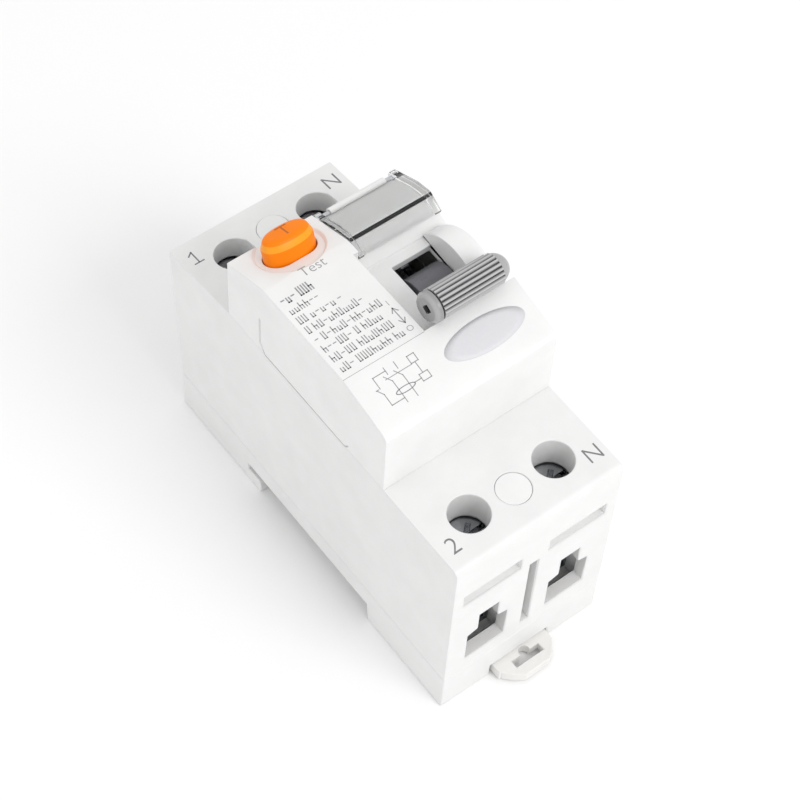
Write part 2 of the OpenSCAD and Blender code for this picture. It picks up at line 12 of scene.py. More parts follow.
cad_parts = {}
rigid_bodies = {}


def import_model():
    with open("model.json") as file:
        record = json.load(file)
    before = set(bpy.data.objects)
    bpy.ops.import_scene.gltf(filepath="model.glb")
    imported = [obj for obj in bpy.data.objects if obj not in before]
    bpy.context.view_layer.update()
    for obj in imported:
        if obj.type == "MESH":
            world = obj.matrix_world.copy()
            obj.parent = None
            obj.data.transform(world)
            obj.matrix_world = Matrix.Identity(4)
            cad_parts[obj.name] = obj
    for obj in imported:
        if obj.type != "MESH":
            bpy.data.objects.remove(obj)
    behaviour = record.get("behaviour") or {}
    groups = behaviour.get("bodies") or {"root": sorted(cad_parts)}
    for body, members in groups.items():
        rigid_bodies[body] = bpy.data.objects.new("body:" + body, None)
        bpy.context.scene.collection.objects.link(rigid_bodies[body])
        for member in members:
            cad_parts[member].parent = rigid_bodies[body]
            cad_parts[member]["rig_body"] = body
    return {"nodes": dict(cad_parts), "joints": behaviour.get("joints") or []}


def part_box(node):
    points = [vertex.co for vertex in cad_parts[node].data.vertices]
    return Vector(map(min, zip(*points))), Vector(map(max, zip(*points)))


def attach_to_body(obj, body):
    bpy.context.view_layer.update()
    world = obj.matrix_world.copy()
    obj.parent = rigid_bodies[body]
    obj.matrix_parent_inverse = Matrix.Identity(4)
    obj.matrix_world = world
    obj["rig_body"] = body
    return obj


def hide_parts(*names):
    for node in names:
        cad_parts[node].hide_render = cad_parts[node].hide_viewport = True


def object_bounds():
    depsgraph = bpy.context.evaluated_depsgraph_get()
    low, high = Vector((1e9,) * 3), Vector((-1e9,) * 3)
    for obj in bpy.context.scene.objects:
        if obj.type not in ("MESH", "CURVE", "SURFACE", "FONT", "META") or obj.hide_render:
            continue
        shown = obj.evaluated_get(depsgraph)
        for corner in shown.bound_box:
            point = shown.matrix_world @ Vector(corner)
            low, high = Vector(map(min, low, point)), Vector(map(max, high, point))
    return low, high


bl_info = {
    "name": "Residual current device",
    "version": (1, 0, 0),
    "blender": (4, 5, 0),
    "location": "View3D > Sidebar > Device",
    "description": "Builds the looks of a two-module residual current device around its CAD parts",
    "category": "Object",
}

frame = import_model()
CAD_LOW, CAD_HIGH = [list(corner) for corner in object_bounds()]
MM = 0.001
JOINTS = {joint["name"]: joint for joint in frame["joints"]}
PIVOT = np.array(JOINTS["toggle_swing"]["pos_m"])
X_AXIS, Y_AXIS, Z_AXIS = np.eye(3)

# Above these heights a node's left side shows only its top outline
NOSE_LEVEL = 55 * MM
DECK_LEVEL = 41 * MM

# How finely edges, bends and coils are divided, and the fold past which an edge counts as sharp
BEVEL_STEPS = 2
BEND_STEPS = 9
STEPS_PER_TURN = 28
SHARP_EDGE = math.radians(28)


# ---------------------------------------------------------------- settings


class ShellSettings(bpy.types.PropertyGroup):
    """Housing and rail clip"""

    case_colour: bpy.props.FloatVectorProperty(
        name="Case", description="Colour of the case", subtype="COLOR", default=(0.80, 0.80, 0.795))
    cover_colour: bpy.props.FloatVectorProperty(
        name="Cover", description="Colour of the nose", subtype="COLOR", default=(0.83, 0.83, 0.825))
    clip_colour: bpy.props.FloatVectorProperty(
        name="Clip", description="Colour of the rail clip", subtype="COLOR", default=(0.80, 0.79, 0.77))
    edge_round: bpy.props.FloatProperty(
        name="Edge round", description="Radius on moulded edges", unit="LENGTH", default=0.28 * MM)


class HandleSettings(bpy.types.PropertyGroup):
    """Toggle handle"""

    grip_colour: bpy.props.FloatVectorProperty(
        name="Grip", description="Colour of the grip", subtype="COLOR", default=(0.46, 0.455, 0.46))
    # The drum is the grip's own moulding; its darker colour is painted shade from the slot it turns in
    drum_shaded_colour: bpy.props.FloatVectorProperty(
        name="Drum", description="Colour of the drum under the grip", subtype="COLOR",
        default=(0.15, 0.15, 0.165))
    lean: bpy.props.FloatProperty(
        name="Lean", description="Lean of the grip when off", unit="ROTATION", default=math.radians(32.8))
    reach: bpy.props.FloatProperty(
        name="Reach", description="Pivot to the middle of the grip", unit="LENGTH", default=15.7 * MM)
    radius: bpy.props.FloatProperty(
        name="Radius", description="Radius over the ribs", unit="LENGTH", default=2.98 * MM)
    flank: bpy.props.FloatProperty(
        name="Flank", description="Straight part of the grip's sides", unit="LENGTH", default=1.1 * MM)
    rib_depth: bpy.props.FloatProperty(
        name="Rib depth", description="Depth of the grooves between ribs", unit="LENGTH", default=0.6 * MM)
    ribs: bpy.props.IntProperty(name="Ribs", description="Number of ribs round the grip", default=11)


class ButtonSettings(bpy.types.PropertyGroup):
    """Test button"""

    colour: bpy.props.FloatVectorProperty(
        name="Button", description="Colour of the button", subtype="COLOR", default=(1.0, 0.235, 0.0))
    rim_colour: bpy.props.FloatVectorProperty(
        name="Rim", description="Colour of the button's slanted rim", subtype="COLOR",
        default=(1.0, 0.36, 0.012))
    width: bpy.props.FloatProperty(
        name="Width", description="Across the button", unit="LENGTH", default=10 * MM)
    depth: bpy.props.FloatProperty(
        name="Depth", description="Up the button", unit="LENGTH", default=6 * MM)


class WindowSettings(bpy.types.PropertyGroup):
    """Flip window and the card under it"""

    tint: bpy.props.FloatVectorProperty(
        name="Tint", description="Tint of the window", subtype="COLOR", default=(0.995, 1.0, 0.997))
    card_colour: bpy.props.FloatVectorProperty(
        name="Card", description="Colour of the label card", subtype="COLOR", default=(0.93, 0.935, 0.92))


class PrintSettings(bpy.types.PropertyGroup):
    """Marks and small print"""

    ink: bpy.props.FloatVectorProperty(
        name="Ink", description="Colour of the small print", subtype="COLOR", default=(0.32, 0.32, 0.325))
    mark_ink: bpy.props.FloatVectorProperty(
        name="Mark ink", description="Colour of the terminal marks", subtype="COLOR",
        default=(0.2, 0.2, 0.205))
    patch: bpy.props.FloatVectorProperty(
        name="Patch", description="Colour of the plain oval", subtype="COLOR", default=(0.69, 0.685, 0.71))
    letter_height: bpy.props.FloatProperty(
        name="Letter height", description="Height of the terminal marks", unit="LENGTH", default=3.3 * MM)
    lift: bpy.props.FloatProperty(
        name="Lift", description="Thickness of the ink", unit="LENGTH", default=0.03 * MM)


class MetalSettings(bpy.types.PropertyGroup):
    """Metal parts"""

    zinc: bpy.props.FloatVectorProperty(
        name="Zinc", description="Colour of plated steel", subtype="COLOR", default=(0.60, 0.61, 0.64))
    copper: bpy.props.FloatVectorProperty(
        name="Copper", description="Colour of bare copper", subtype="COLOR", default=(0.80, 0.42, 0.26))
    thread_pitch: bpy.props.FloatProperty(
        name="Thread pitch", description="Pitch of the terminal screws", unit="LENGTH", default=0.8 * MM)


class StageSettings(bpy.types.PropertyGroup):
    """Camera and light"""

    azimuth: bpy.props.FloatProperty(
        name="Azimuth", description="Camera angle round the part", unit="ROTATION",
        default=math.radians(-41.043))
    elevation: bpy.props.FloatProperty(
        name="Elevation", description="Camera angle above the floor", unit="ROTATION",
        default=math.radians(56.38))
    roll: bpy.props.FloatProperty(
        name="Roll", description="Camera roll", unit="ROTATION", default=math.radians(4.385))
    distance: bpy.props.FloatProperty(
        name="Distance", description="Camera to its aim", unit="LENGTH", default=401.58 * MM)
    aim: bpy.props.FloatVectorProperty(
        name="Aim", description="Point in the middle of the view", subtype="XYZ",
        default=(0, -3.78 * MM, 32.72 * MM))
    lens: bpy.props.FloatProperty(
        name="Lens", description="Focal length in millimetres", default=101.98)
    daylight: bpy.props.FloatProperty(
        name="Daylight", description="Strength of the white surroundings", default=0.90)


SETTINGS = {
    "device_shell": ShellSettings, "device_handle": HandleSettings, "device_button": ButtonSettings,
    "device_window": WindowSettings, "device_print": PrintSettings, "device_metal": MetalSettings,
    "device_stage": StageSettings,
}


# ---------------------------------------------------------------- finishes


def scaled(colour, factor):
    """The colour made lighter or darker, within 0 and 1."""
    return tuple(min(1.0, channel * factor) for channel in colour)


def new_finish(name, colour, roughness, metallic=0.0):
    """A Principled material; values that are the same all over stand on the shader's own sockets."""
    finish = bpy.data.materials.new(name)
    finish.use_nodes = True
    tree = finish.node_tree
    shader = tree.nodes["Principled BSDF"]
    shader.inputs["Base Color"].default_value = (*colour, 1)
    shader.inputs["Roughness"].default_value = roughness
    shader.inputs["Metallic"].default_value = metallic
    return finish, tree, shader


def object_point(tree, stretch=(1, 1, 1), turn=(0, 0, 0), centre=(0, 0, 0)):
    """Object coordinates about a centre, turned and stretched."""
    place = tree.nodes.new("ShaderNodeTexCoord")
    centred = tree.nodes.new("ShaderNodeMapping")
    centred.inputs["Location"].default_value = [-value for value in centre]
    mapping = tree.nodes.new("ShaderNodeMapping")
    mapping.inputs["Scale"].default_value = stretch
    mapping.inputs["Rotation"].default_value = turn
    tree.links.new(place.outputs["Object"], centred.inputs["Vector"])
    tree.links.new(centred.outputs["Vector"], mapping.inputs["Vector"])
    return mapping.outputs["Vector"]


def noise(tree, point, size, detail=3.0):
    """Cloudy noise with blotches of about the given size."""
    texture = tree.nodes.new("ShaderNodeTexNoise")
    texture.inputs["Scale"].default_value = 1 / size
    texture.inputs["Detail"].default_value = detail
    tree.links.new(point, texture.inputs["Vector"])
    return texture.outputs["Fac"]


def cells(tree, point, size):
    """Crystal-like cells of about the given size."""
    texture = tree.nodes.new("ShaderNodeTexVoronoi")
    texture.inputs["Scale"].default_value = 1 / size
    tree.links.new(point, texture.inputs["Vector"])
    return texture.outputs["Distance"]


def rings(tree, point, spacing):
    """Rings round the Y axis. The texture repeats every pi / 10 of its scaled distance."""
    texture = tree.nodes.new("ShaderNodeTexWave")
    texture.wave_type = "RINGS"
    texture.rings_direction = "Y"
    texture.inputs["Scale"].default_value = math.pi / (10 * spacing)
    texture.inputs["Distortion"].default_value = 0.4
    tree.links.new(point, texture.inputs["Vector"])
    return texture.outputs["Fac"]


def tint_by(tree, shader, factor, dark, light, low=0.3, high=0.7):
    """Base colour from dark to light as the factor goes from low to high."""
    ramp = tree.nodes.new("ShaderNodeValToRGB")
    for element, place, colour in zip(ramp.color_ramp.elements, (low, high), (dark, light)):
        element.position = place
        element.color = (*colour, 1)
    tree.links.new(factor, ramp.inputs["Fac"])
    tree.links.new(ramp.outputs["Color"], shader.inputs["Base Color"])


def gloss_by(tree, shader, factor, low, high):
    """Roughness from low to high with the factor."""
    spread = tree.nodes.new("ShaderNodeMapRange")
    spread.inputs["From Min"].default_value = 0.3
    spread.inputs["From Max"].default_value = 0.7
    spread.inputs["To Min"].default_value = low
    spread.inputs["To Max"].default_value = high
    tree.links.new(factor, spread.inputs["Value"])
    tree.links.new(spread.outputs["Result"], shader.inputs["Roughness"])


def raise_by(tree, shader, factor, height, strength=0.5):
    """Surface relief of the given height in metres."""
    relief = tree.nodes.new("ShaderNodeBump")
    relief.inputs["Distance"].default_value = height
    relief.inputs["Strength"].default_value = strength
    tree.links.new(factor, relief.inputs["Height"])
    tree.links.new(relief.outputs["Normal"], shader.inputs["Normal"])


def moulded(name, colour, roughness=0.42, vary=0.025, shine=0.5):
    """Moulded plastic: faint clouds in its colour, uneven gloss and the fine grain of the mould."""
    finish, tree, shader = new_finish(name, colour, roughness)
    shader.inputs["Specular IOR Level"].default_value = shine
    point = object_point(tree)
    clouds = noise(tree, point, 7 * MM, detail=5.0)
    tint_by(tree, shader, clouds, scaled(colour, 1 - vary), scaled(colour, 1 + vary))
    gloss_by(tree, shader, noise(tree, point, 2.5 * MM), roughness * 0.88, roughness * 1.12)
    raise_by(tree, shader, noise(tree, point, 0.1 * MM, detail=2.0), 0.02 * MM)
    return finish


def plated(name, colour, roughness=0.28, stretch=(1, 1, 1), crystals=0.5 * MM):
    """Plated steel: pale crystals, rubbed streaks along one axis and a fine relief."""
    finish, tree, shader = new_finish(name, colour, roughness, metallic=1.0)
    point = object_point(tree)
    grains = cells(tree, point, crystals)
    tint_by(tree, shader, grains, scaled(colour, 0.93), scaled(colour, 1.05), 0.1, 0.8)
    streaks = noise(tree, object_point(tree, stretch), 0.3 * MM, detail=4.0)
    gloss_by(tree, shader, streaks, roughness * 0.7, roughness * 1.5)
    raise_by(tree, shader, streaks, 0.012 * MM)
    return finish


def bare_copper(name, colour):
    """Rolled copper: darker tarnish in clouds and lines from rolling."""
    roughness = 0.3
    finish, tree, shader = new_finish(name, colour, roughness, metallic=1.0)
    point = object_point(tree)
    tint_by(tree, shader, noise(tree, point, 3 * MM, detail=6.0), scaled(colour, 0.62), colour, 0.28, 0.6)
    lines = noise(tree, object_point(tree, (8, 0.6, 8)), 0.8 * MM)
    gloss_by(tree, shader, lines, roughness * 0.7, roughness * 1.6)
    raise_by(tree, shader, lines, 0.01 * MM)
    return finish


def clear_plastic(name, tint):
    """Clear polycarbonate: smooth, with faint rubbing marks and very shallow flow waves."""
    finish, tree, shader = new_finish(name, tint, 0.04)
    shader.inputs["Transmission Weight"].default_value = 1.0
    shader.inputs["IOR"].default_value = 1.5
    point = object_point(tree)
    tint_by(tree, shader, noise(tree, point, 5 * MM), scaled(tint, 0.985), scaled(tint, 1.01))
    gloss_by(tree, shader, noise(tree, object_point(tree, (1, 6, 1)), 1.2 * MM), 0.02, 0.06)
    raise_by(tree, shader, noise(tree, point, 9 * MM), 0.02 * MM, 0.3)
    return finish


def card_stock(name, colour):
    """Card: fibres in its colour and a soft matt surface."""
    finish, tree, shader = new_finish(name, colour, 0.6)
    fibres = noise(tree, object_point(tree, (1, 4, 1)), 0.4 * MM, detail=6.0)
    tint_by(tree, shader, fibres, scaled(colour, 0.96), scaled(colour, 1.03))
    raise_by(tree, shader, fibres, 0.02 * MM)
    return finish


def coated_core(name, colour, centre):
    """Ring core of wound strip under a coat: fine rings round its axis."""
    finish, tree, shader = new_finish(name, colour, 0.35, metallic=0.6)
    layers = rings(tree, object_point(tree, centre=centre), 1 * MM)
    tint_by(tree, shader, layers, scaled(colour, 0.7), scaled(colour, 1.3), 0.2, 0.8)
    raise_by(tree, shader, layers, 0.03 * MM)
    return finish


def enamelled(name, colour):
    """Enamelled wire: reddish lacquer over copper, thinner in places."""
    finish, tree, shader = new_finish(name, colour, 0.22, metallic=0.7)
    shader.inputs["Coat Weight"].default_value = 0.6
    shader.inputs["Coat Roughness"].default_value = 0.1
    patches = noise(tree, object_point(tree), 1.2 * MM)
    tint_by(tree, shader, patches, scaled(colour, 0.7), scaled(colour, 1.25))
    raise_by(tree, shader, noise(tree, object_point(tree), 0.2 * MM), 0.01 * MM)
    return finish


def laminate(name, colour):
    """Circuit board: solder mask over a weave, with copper tracks showing through as paler lines."""
    finish, tree, shader = new_finish(name, colour, 0.3)
    tracks = tree.nodes.new("ShaderNodeTexBrick")
    tracks.inputs["Scale"].default_value = 1 / (9 * MM)
    tracks.inputs["Mortar Size"].default_value = 0.03
    tracks.inputs["Color1"].default_value = (*colour, 1)
    tracks.inputs["Color2"].default_value = (*scaled(colour, 1.15), 1)
    tracks.inputs["Mortar"].default_value = (*scaled(colour, 2.2), 1)
    tree.links.new(object_point(tree, turn=(0, math.pi / 2, 0)), tracks.inputs["Vector"])
    tree.links.new(tracks.outputs["Color"], shader.inputs["Base Color"])
    weave = noise(tree, object_point(tree, (1, 3, 1)), 0.3 * MM)
    gloss_by(tree, shader, weave, 0.22, 0.4)
    raise_by(tree, shader, tracks.outputs["Fac"], 0.04 * MM)
    return finish


def printed(name, colour, vary=0.12):
    """Pad-printed ink: thin places where the pad left less ink."""
    finish, tree, shader = new_finish(name, colour, 0.5)
    patches = noise(tree, object_point(tree), 0.5 * MM)
    tint_by(tree, shader, patches, scaled(colour, 1 - vary), scaled(colour, 1 + vary))
    gloss_by(tree, shader, noise(tree, object_point(tree), 1 * MM), 0.42, 0.58)
    return finish


# ---------------------------------------------------------------- meshes


def node_points(node):
    """Corner points of a CAD node as an array."""
    mesh = frame["nodes"][node].data
    points = np.empty(len(mesh.vertices) * 3, np.float32)
    mesh.vertices.foreach_get("co", points)
    return points.reshape(-1, 3).astype(float)


def unit(vectors):
    """Vectors at length one."""
    return vectors / np.linalg.norm(vectors, axis=-1, keepdims=True)


def mesh_piece(name, points, faces):
    """A mesh object from points and faces, with its normals outwards and its faces smooth."""
    mesh = bpy.data.meshes.new(name)
    mesh.from_pydata(np.asarray(points).reshape(-1, 3), [], faces)
    work = bmesh.new()
    work.from_mesh(mesh)
    bmesh.ops.recalc_face_normals(work, faces=work.faces)
    work.to_mesh(mesh)
    work.free()
    mesh.polygons.foreach_set("use_smooth", np.ones(len(mesh.polygons), bool))
    piece = bpy.data.objects.new(name, mesh)
    bpy.context.scene.collection.objects.link(piece)
    return piece


def grid_faces(rows, columns, first=0):
    """Four-sided faces between the rings of a grid that closes around, with a face over each end ring."""
    index = np.arange(rows * columns).reshape(rows, columns) + first
    beside = np.roll(index, -1, axis=1)
    faces = np.stack([index[:-1], beside[:-1], beside[1:], index[1:]], -1).reshape(-1, 4).tolist()
    return faces + [index[0].tolist(), index[-1].tolist()]


def ring_body(name, rows):
    """A closed body from rings: rows is an array of rings, each a closed loop of points."""
    return mesh_piece(name, rows, grid_faces(*rows.shape[:2]))


def ring_bodies(name, bodies):
    """Several closed bodies of rings in one mesh."""
    points, faces, first = [], [], 0
    for rows in bodies:
        faces += grid_faces(*rows.shape[:2], first=first)
        points.append(rows.reshape(-1, 3))
        first += rows.shape[0] * rows.shape[1]
    return mesh_piece(name, np.concatenate(points), faces)


def tube_rows(path, radius, up, sides=12):
    """Rings of a round bar: at each point of the path a circle across its tangent, measured from up."""
    tangent = unit(np.gradient(path, axis=0))
    side = unit(np.cross(tangent, up))
    lift = np.cross(side, tangent)
    angle = np.linspace(0, 2 * math.pi, sides, endpoint=False)[:, None]
    circle = np.cos(angle) * side[:, None, :] + np.sin(angle) * lift[:, None, :]
    return path[:, None, :] + np.reshape(radius, (-1, 1, 1)) * circle


def helix_rows(start, axis, across, radius, wire, length, turns):
    """Rings of a coil spring: a point goes round the axis at the given radius while it climbs evenly,
    and the first and last turns lie nearly flat."""
    share = np.linspace(0, 1, int(turns * STEPS_PER_TURN))
    ease = share - np.sin(2 * math.pi * share) / (2 * math.pi) * 0.25
    other = np.cross(axis, across)
    angle = 2 * math.pi * turns * share[:, None]
    climb = (wire + ease * (length - 2 * wire))[:, None] * axis
    path = start + climb + radius * (np.cos(angle) * across + np.sin(angle) * other)
    return tube_rows(path, wire, axis, sides=10)


def rounded_path(corners, bend):
    """Points along straight runs whose corners are replaced by smooth curves of the given bend."""
    corners = np.array(corners, float)
    share = np.linspace(0, 1, BEND_STEPS)[:, None]
    path = [corners[:1]]
    for before, corner, after in zip(corners, corners[1:], corners[2:]):
        first = corner + unit(before - corner) * bend
        last = corner + unit(after - corner) * bend
        path.append((1 - share) ** 2 * first + 2 * share * (1 - share) * corner + share ** 2 * last)
    path.append(corners[-1:])
    return np.concatenate(path)


def rounded(piece, width):
    """A bevel on the edges that carry a weight."""
    bevel = piece.modifiers.new("edge_round", "BEVEL")
    bevel.limit_method = "WEIGHT"
    bevel.width = width
    bevel.segments = BEVEL_STEPS
    bevel.use_clamp_overlap = False
    bevel.loop_slide = False
    bevel.harden_normals = True
    return piece


def weigh_edges(work, width):
    """Marks sharp edges, and gives the outward ones a bevel weight that their shortest neighbour can
    take. A bevel on an inward edge would push points out past the CAD box."""
    layers = work.edges.layers.float
    weight = layers.get("bevel_weight_edge") or layers.new("bevel_weight_edge")
    for edge in work.edges:
        if len(edge.link_faces) == 2 and edge.calc_face_angle(0) > SHARP_EDGE:
            edge.smooth = False
            if not edge.is_convex:
                continue
            nearby = [other.calc_length() for corner in edge.verts for other in corner.link_edges]
            edge[weight] = min(1.0, 0.42 * min(nearby) / width)


def refined(node, width, keep=None, name=None):
    """A piece from a merged copy of a CAD node, with flat faces joined and its edges rounded.
    keep is (point, direction): only what lies behind that plane stays, closed by a face."""
    mesh = frame["nodes"][node].data.copy()
    mesh.name = name or "fine_" + node
    mesh.materials.clear()
    if mesh.has_custom_normals:
        mesh.attributes.remove(mesh.attributes["custom_normal"])
    work = bmesh.new()
    work.from_mesh(mesh)
    bmesh.ops.remove_doubles(work, verts=work.verts, dist=0.002 * MM)
    if keep:
        everything = list(work.verts) + list(work.edges) + list(work.faces)
        cut = bmesh.ops.bisect_plane(
            work, geom=everything, plane_co=keep[0], plane_no=keep[1], clear_outer=True)
        rim = [part for part in cut["geom_cut"] if isinstance(part, bmesh.types.BMEdge)]
        bmesh.ops.contextual_create(work, geom=rim)
    bmesh.ops.dissolve_limit(
        work, angle_limit=math.radians(0.5), verts=work.verts, edges=work.edges)
    weigh_edges(work, width)
    for face in work.faces:
        face.smooth = True
    work.to_mesh(mesh)
    work.free()
    piece = bpy.data.objects.new(mesh.name, mesh)
    bpy.context.scene.collection.objects.link(piece)
    return rounded(piece, width)


def dress(piece, node, *finishes):
    """The piece takes the finishes, stands for the CAD node and rides on its body."""
    for finish in finishes:
        piece.data.materials.append(finish)
    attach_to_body(piece, frame["nodes"][node]["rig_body"])
    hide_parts(node)
    return piece


def attach(piece, node, finish):
    """The piece takes the finish and rides on the node's body, beside it."""
    piece.data.materials.append(finish)
    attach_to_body(piece, frame["nodes"][node]["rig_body"])


def paint_faces(piece, choose):
    """Gives each face the finish number that choose works out from the array of face centres."""
    mesh = piece.data
    centres = np.empty(len(mesh.polygons) * 3, np.float32)
    mesh.polygons.foreach_get("center", centres)
    mesh.polygons.foreach_set("material_index", choose(centres.reshape(-1, 3)).astype(np.int32))


# ---------------------------------------------------------------- operators


class DEVICE_OT_shells(bpy.types.Operator):
    """Base, case, nose, deck plugs and rail clip in white plastic"""

    bl_idname = "device.shells"
    bl_label = "Casings and clip"

    def execute(self, context):
        look = context.scene.device_shell
        case = moulded("case_plastic", look.case_colour)
        cover = moulded("nose_plastic", look.cover_colour)
        clip = moulded("clip_plastic", look.clip_colour, roughness=0.38)
        for node, finish, share in [
            ("rear_base", case, 1.0), ("main_case", case, 1.0), ("front_cover", cover, 0.6),
            ("deck_plugs", cover, 0.6), ("rail_clip", clip, 1.2),
        ]:
            dress(refined(node, look.edge_round * share), node, finish)
        return {"FINISHED"}


class DEVICE_OT_window(bpy.types.Operator):
    """Clear flip window, its pin and the card under it"""

    bl_idname = "device.window"
    bl_label = "Window and card"

    def execute(self, context):
        look = context.scene.device_window
        dress(refined("flip_window", 0.14 * MM), "flip_window", clear_plastic("clear_window", look.tint))
        card = card_stock("label_card_stock", look.card_colour)
        dress(refined("label_card", 0.05 * MM), "label_card", card)
        pin = plated("window_pin_steel", context.scene.device_metal.zinc, stretch=(0.3, 5, 5))
        dress(refined("window_pin", 0.08 * MM), "window_pin", pin)
        return {"FINISHED"}


def grip_ribs(angle, look):
    """How far each angle is up a rib, from 0 in a groove to 1 on a crest, and 0.8 on the smooth flank.
    A rib is a power of a cosine, and the ribbed side fades into the flank through a straight ramp."""
    step = math.radians(17.7)
    first = math.radians(45)
    last = first - (look.ribs - 1) * step
    crest = np.abs(np.cos(math.pi * (angle - first) / step)) ** 0.9
    inside = np.minimum(first + step / 2 - angle, angle - last + step / 2)
    fade = np.clip(inside / (step / 4), 0, 1)
    return 1 - fade * (1 - crest) - 0.2 * (1 - fade), fade


# Depth of the grip's square socket, in millimetres, and half its width and height
SOCKET_DEPTH = 2.2
SOCKET_HALF = (0.6 * MM, 0.8 * MM)

# The grip's cap, in millimetres: distance in from its end, radius, and a level on the ramp that paints the
# grip's shade and highlights, for its colour
CAP_PROFILE = [
    (0, 2.1, 0.62), (0.1, 2.3, 0.75), (0.5, 2.66, 0.8), (0.72, 2.86, 0.7), (0.9, 2.92, 0.6),
    (1.35, 2.92, 0.6), (1.42, 2.86, 0.4), (1.44, 2.5, 0), (1.7, 2.5, 0),
]


def grip_rows(look, low_x, high_x):
    """Rings of the grip: out of the square socket, over the flat cap, along the ribs and round the far
    end. Points under the middle line drop by the flank, so that the sides run straight. Also gives the
    level of painted light at each point: on the ribs the rib height, dark in the grooves and pale on the
    crests."""
    angle = np.linspace(-math.pi, math.pi, 264, endpoint=False)
    across, up = -np.sin(angle), np.cos(angle)
    crest, ribbed = grip_ribs(angle, look)
    body = look.radius * (1 - 0.045 * (1 - ribbed))
    socket = np.minimum(
        SOCKET_HALF[0] / np.maximum(np.abs(across), 1e-9), SOCKET_HALF[1] / np.maximum(np.abs(up), 1e-9))
    level = np.ones_like(angle)
    cap = 0.62 * level
    rows = [(SOCKET_DEPTH, socket, 0, cap), (0.25, socket, 0, cap), (0, socket + 0.18 * MM, 0, cap)]
    for depth, radius, shade in CAP_PROFILE:
        rows.append((depth, radius * MM * level, 1, shade * level))
    length = (high_x - low_x) / MM
    dome = look.radius / MM
    for depth in np.concatenate([[1.74], np.linspace(1.8, length - 2.4, 40)]):
        rows.append((depth, body - look.rib_depth * (1 - crest) * ribbed, 1, crest))
    for turn in np.linspace(math.radians(12), math.pi / 2, 14)[:-1]:
        depth = length - dome + dome * math.sin(turn)
        rows.append((depth, (body - 0.12 * MM) * math.cos(turn), 1, 0.75 * level))
    rows.append((length, 0.02 * MM * level, 1, 0.75 * level))
    local = np.array([
        np.column_stack([
            np.full_like(angle, low_x + depth * MM), radius * across,
            look.reach + radius * up - look.flank * (up < 0) * dropped])
        for depth, radius, dropped, _ in rows])
    turned = np.array(Matrix.Rotation(look.lean, 3, "X"))
    return local @ turned.T + PIVOT * (0, 1, 1), np.array([row[3] for row in rows])


def ribbed_plastic_painted_light(name, colour):
    """Handle plastic: a painted highlight on the crests and painted shade, nearly black, down in the grooves.
    """
    finish, tree, shader = new_finish(name, colour, 0.3)
    height = tree.nodes.new("ShaderNodeAttribute")
    height.attribute_name = "rib_shade_level"
    # Painted shade in the grooves and painted highlight on the crests, from each point's rib level
    tint_by(tree, shader, height.outputs["Fac"], scaled(colour, 0.12), scaled(colour, 1.08), 0.15, 0.95)
    gloss_by(tree, shader, noise(tree, object_point(tree), 1.5 * MM), 0.25, 0.36)
    raise_by(tree, shader, noise(tree, object_point(tree), 0.1 * MM), 0.015 * MM)
    return finish


class DEVICE_OT_handle(bpy.types.Operator):
    """Ribbed grip with its square socket, and the drum and neck it turns on"""

    bl_idname = "device.handle"
    bl_label = "Toggle handle"

    def execute(self, context):
        look = context.scene.device_handle
        low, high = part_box("toggle_handle")
        rows, shade_levels = grip_rows(look, low.x, high.x)
        grip = ring_body("ribbed_grip", rows)
        # Each point keeps its level for the painted shade and highlight of the ribs
        grip.data.attributes.new("rib_shade_level", "FLOAT", "POINT").data.foreach_set("value", shade_levels.ravel())
        # The second finish, the grip colour at 6 per cent, is painted shade down inside the square socket
        dress(grip, "toggle_handle", ribbed_plastic_painted_light("grip_painted_light", look.grip_colour),
              moulded("socket_painted_shade", scaled(look.grip_colour, 0.06), roughness=0.7))
        outward = Vector((0, -math.sin(look.lean), math.cos(look.lean)))
        middle = PIVOT * (0, 1, 1) + look.reach * np.array(outward)
        socket_end = low.x + (SOCKET_DEPTH + 0.1) * MM
        # Faces inside the socket take the painted shade
        paint_faces(grip, lambda at: (
            (at[:, 0] < socket_end) & (np.hypot(at[:, 1] - middle[1], at[:, 2] - middle[2]) < 1.05 * MM)))
        sharpen(grip, math.radians(40))
        neck_top = look.reach - look.flank - 2.76 * MM
        plane = Vector(PIVOT) + outward * neck_top
        drum = refined("toggle_handle", 0.15 * MM, keep=(plane, outward), name="handle_drum")
        # The dark drum colour is painted shade of the slot
        dress(drum, "toggle_handle", moulded("drum_painted_shade", look.drum_shaded_colour, roughness=0.3, vary=0.1))
        return {"FINISHED"}


def sharpen(piece, angle):
    """Marks the edges sharper than the angle, so that smooth shading stops there."""
    work = bmesh.new()
    work.from_mesh(piece.data)
    for edge in work.edges:
        edge.smooth = len(edge.link_faces) != 2 or edge.calc_face_angle(0) < angle
    work.to_mesh(piece.data)
    work.free()
    return piece


def ramp_place():
    """Middle of the button on the nose's ramp, and the turn that lays flat work on the ramp."""
    down = -Vector(JOINTS["button_press"]["axis"])
    turn = Vector((0, 0, 1)).rotation_difference(down).to_matrix()
    low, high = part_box("test_button")
    middle = np.array([(low.x + high.x) / 2, 18.2 * MM, 0])
    middle[2] = np.interp(middle[1], *side_profile("front_cover", NOSE_LEVEL))
    return middle, np.array(turn)


def oval(angle, width, depth):
    """A loop with long flanks: an ellipse whose cosine and sine are raised to a power just under one."""
    swell = [np.sign(wave) * np.abs(wave) ** 0.88 for wave in (np.cos(angle), np.sin(angle))]
    return np.column_stack(swell) * [width / 2, depth / 2]


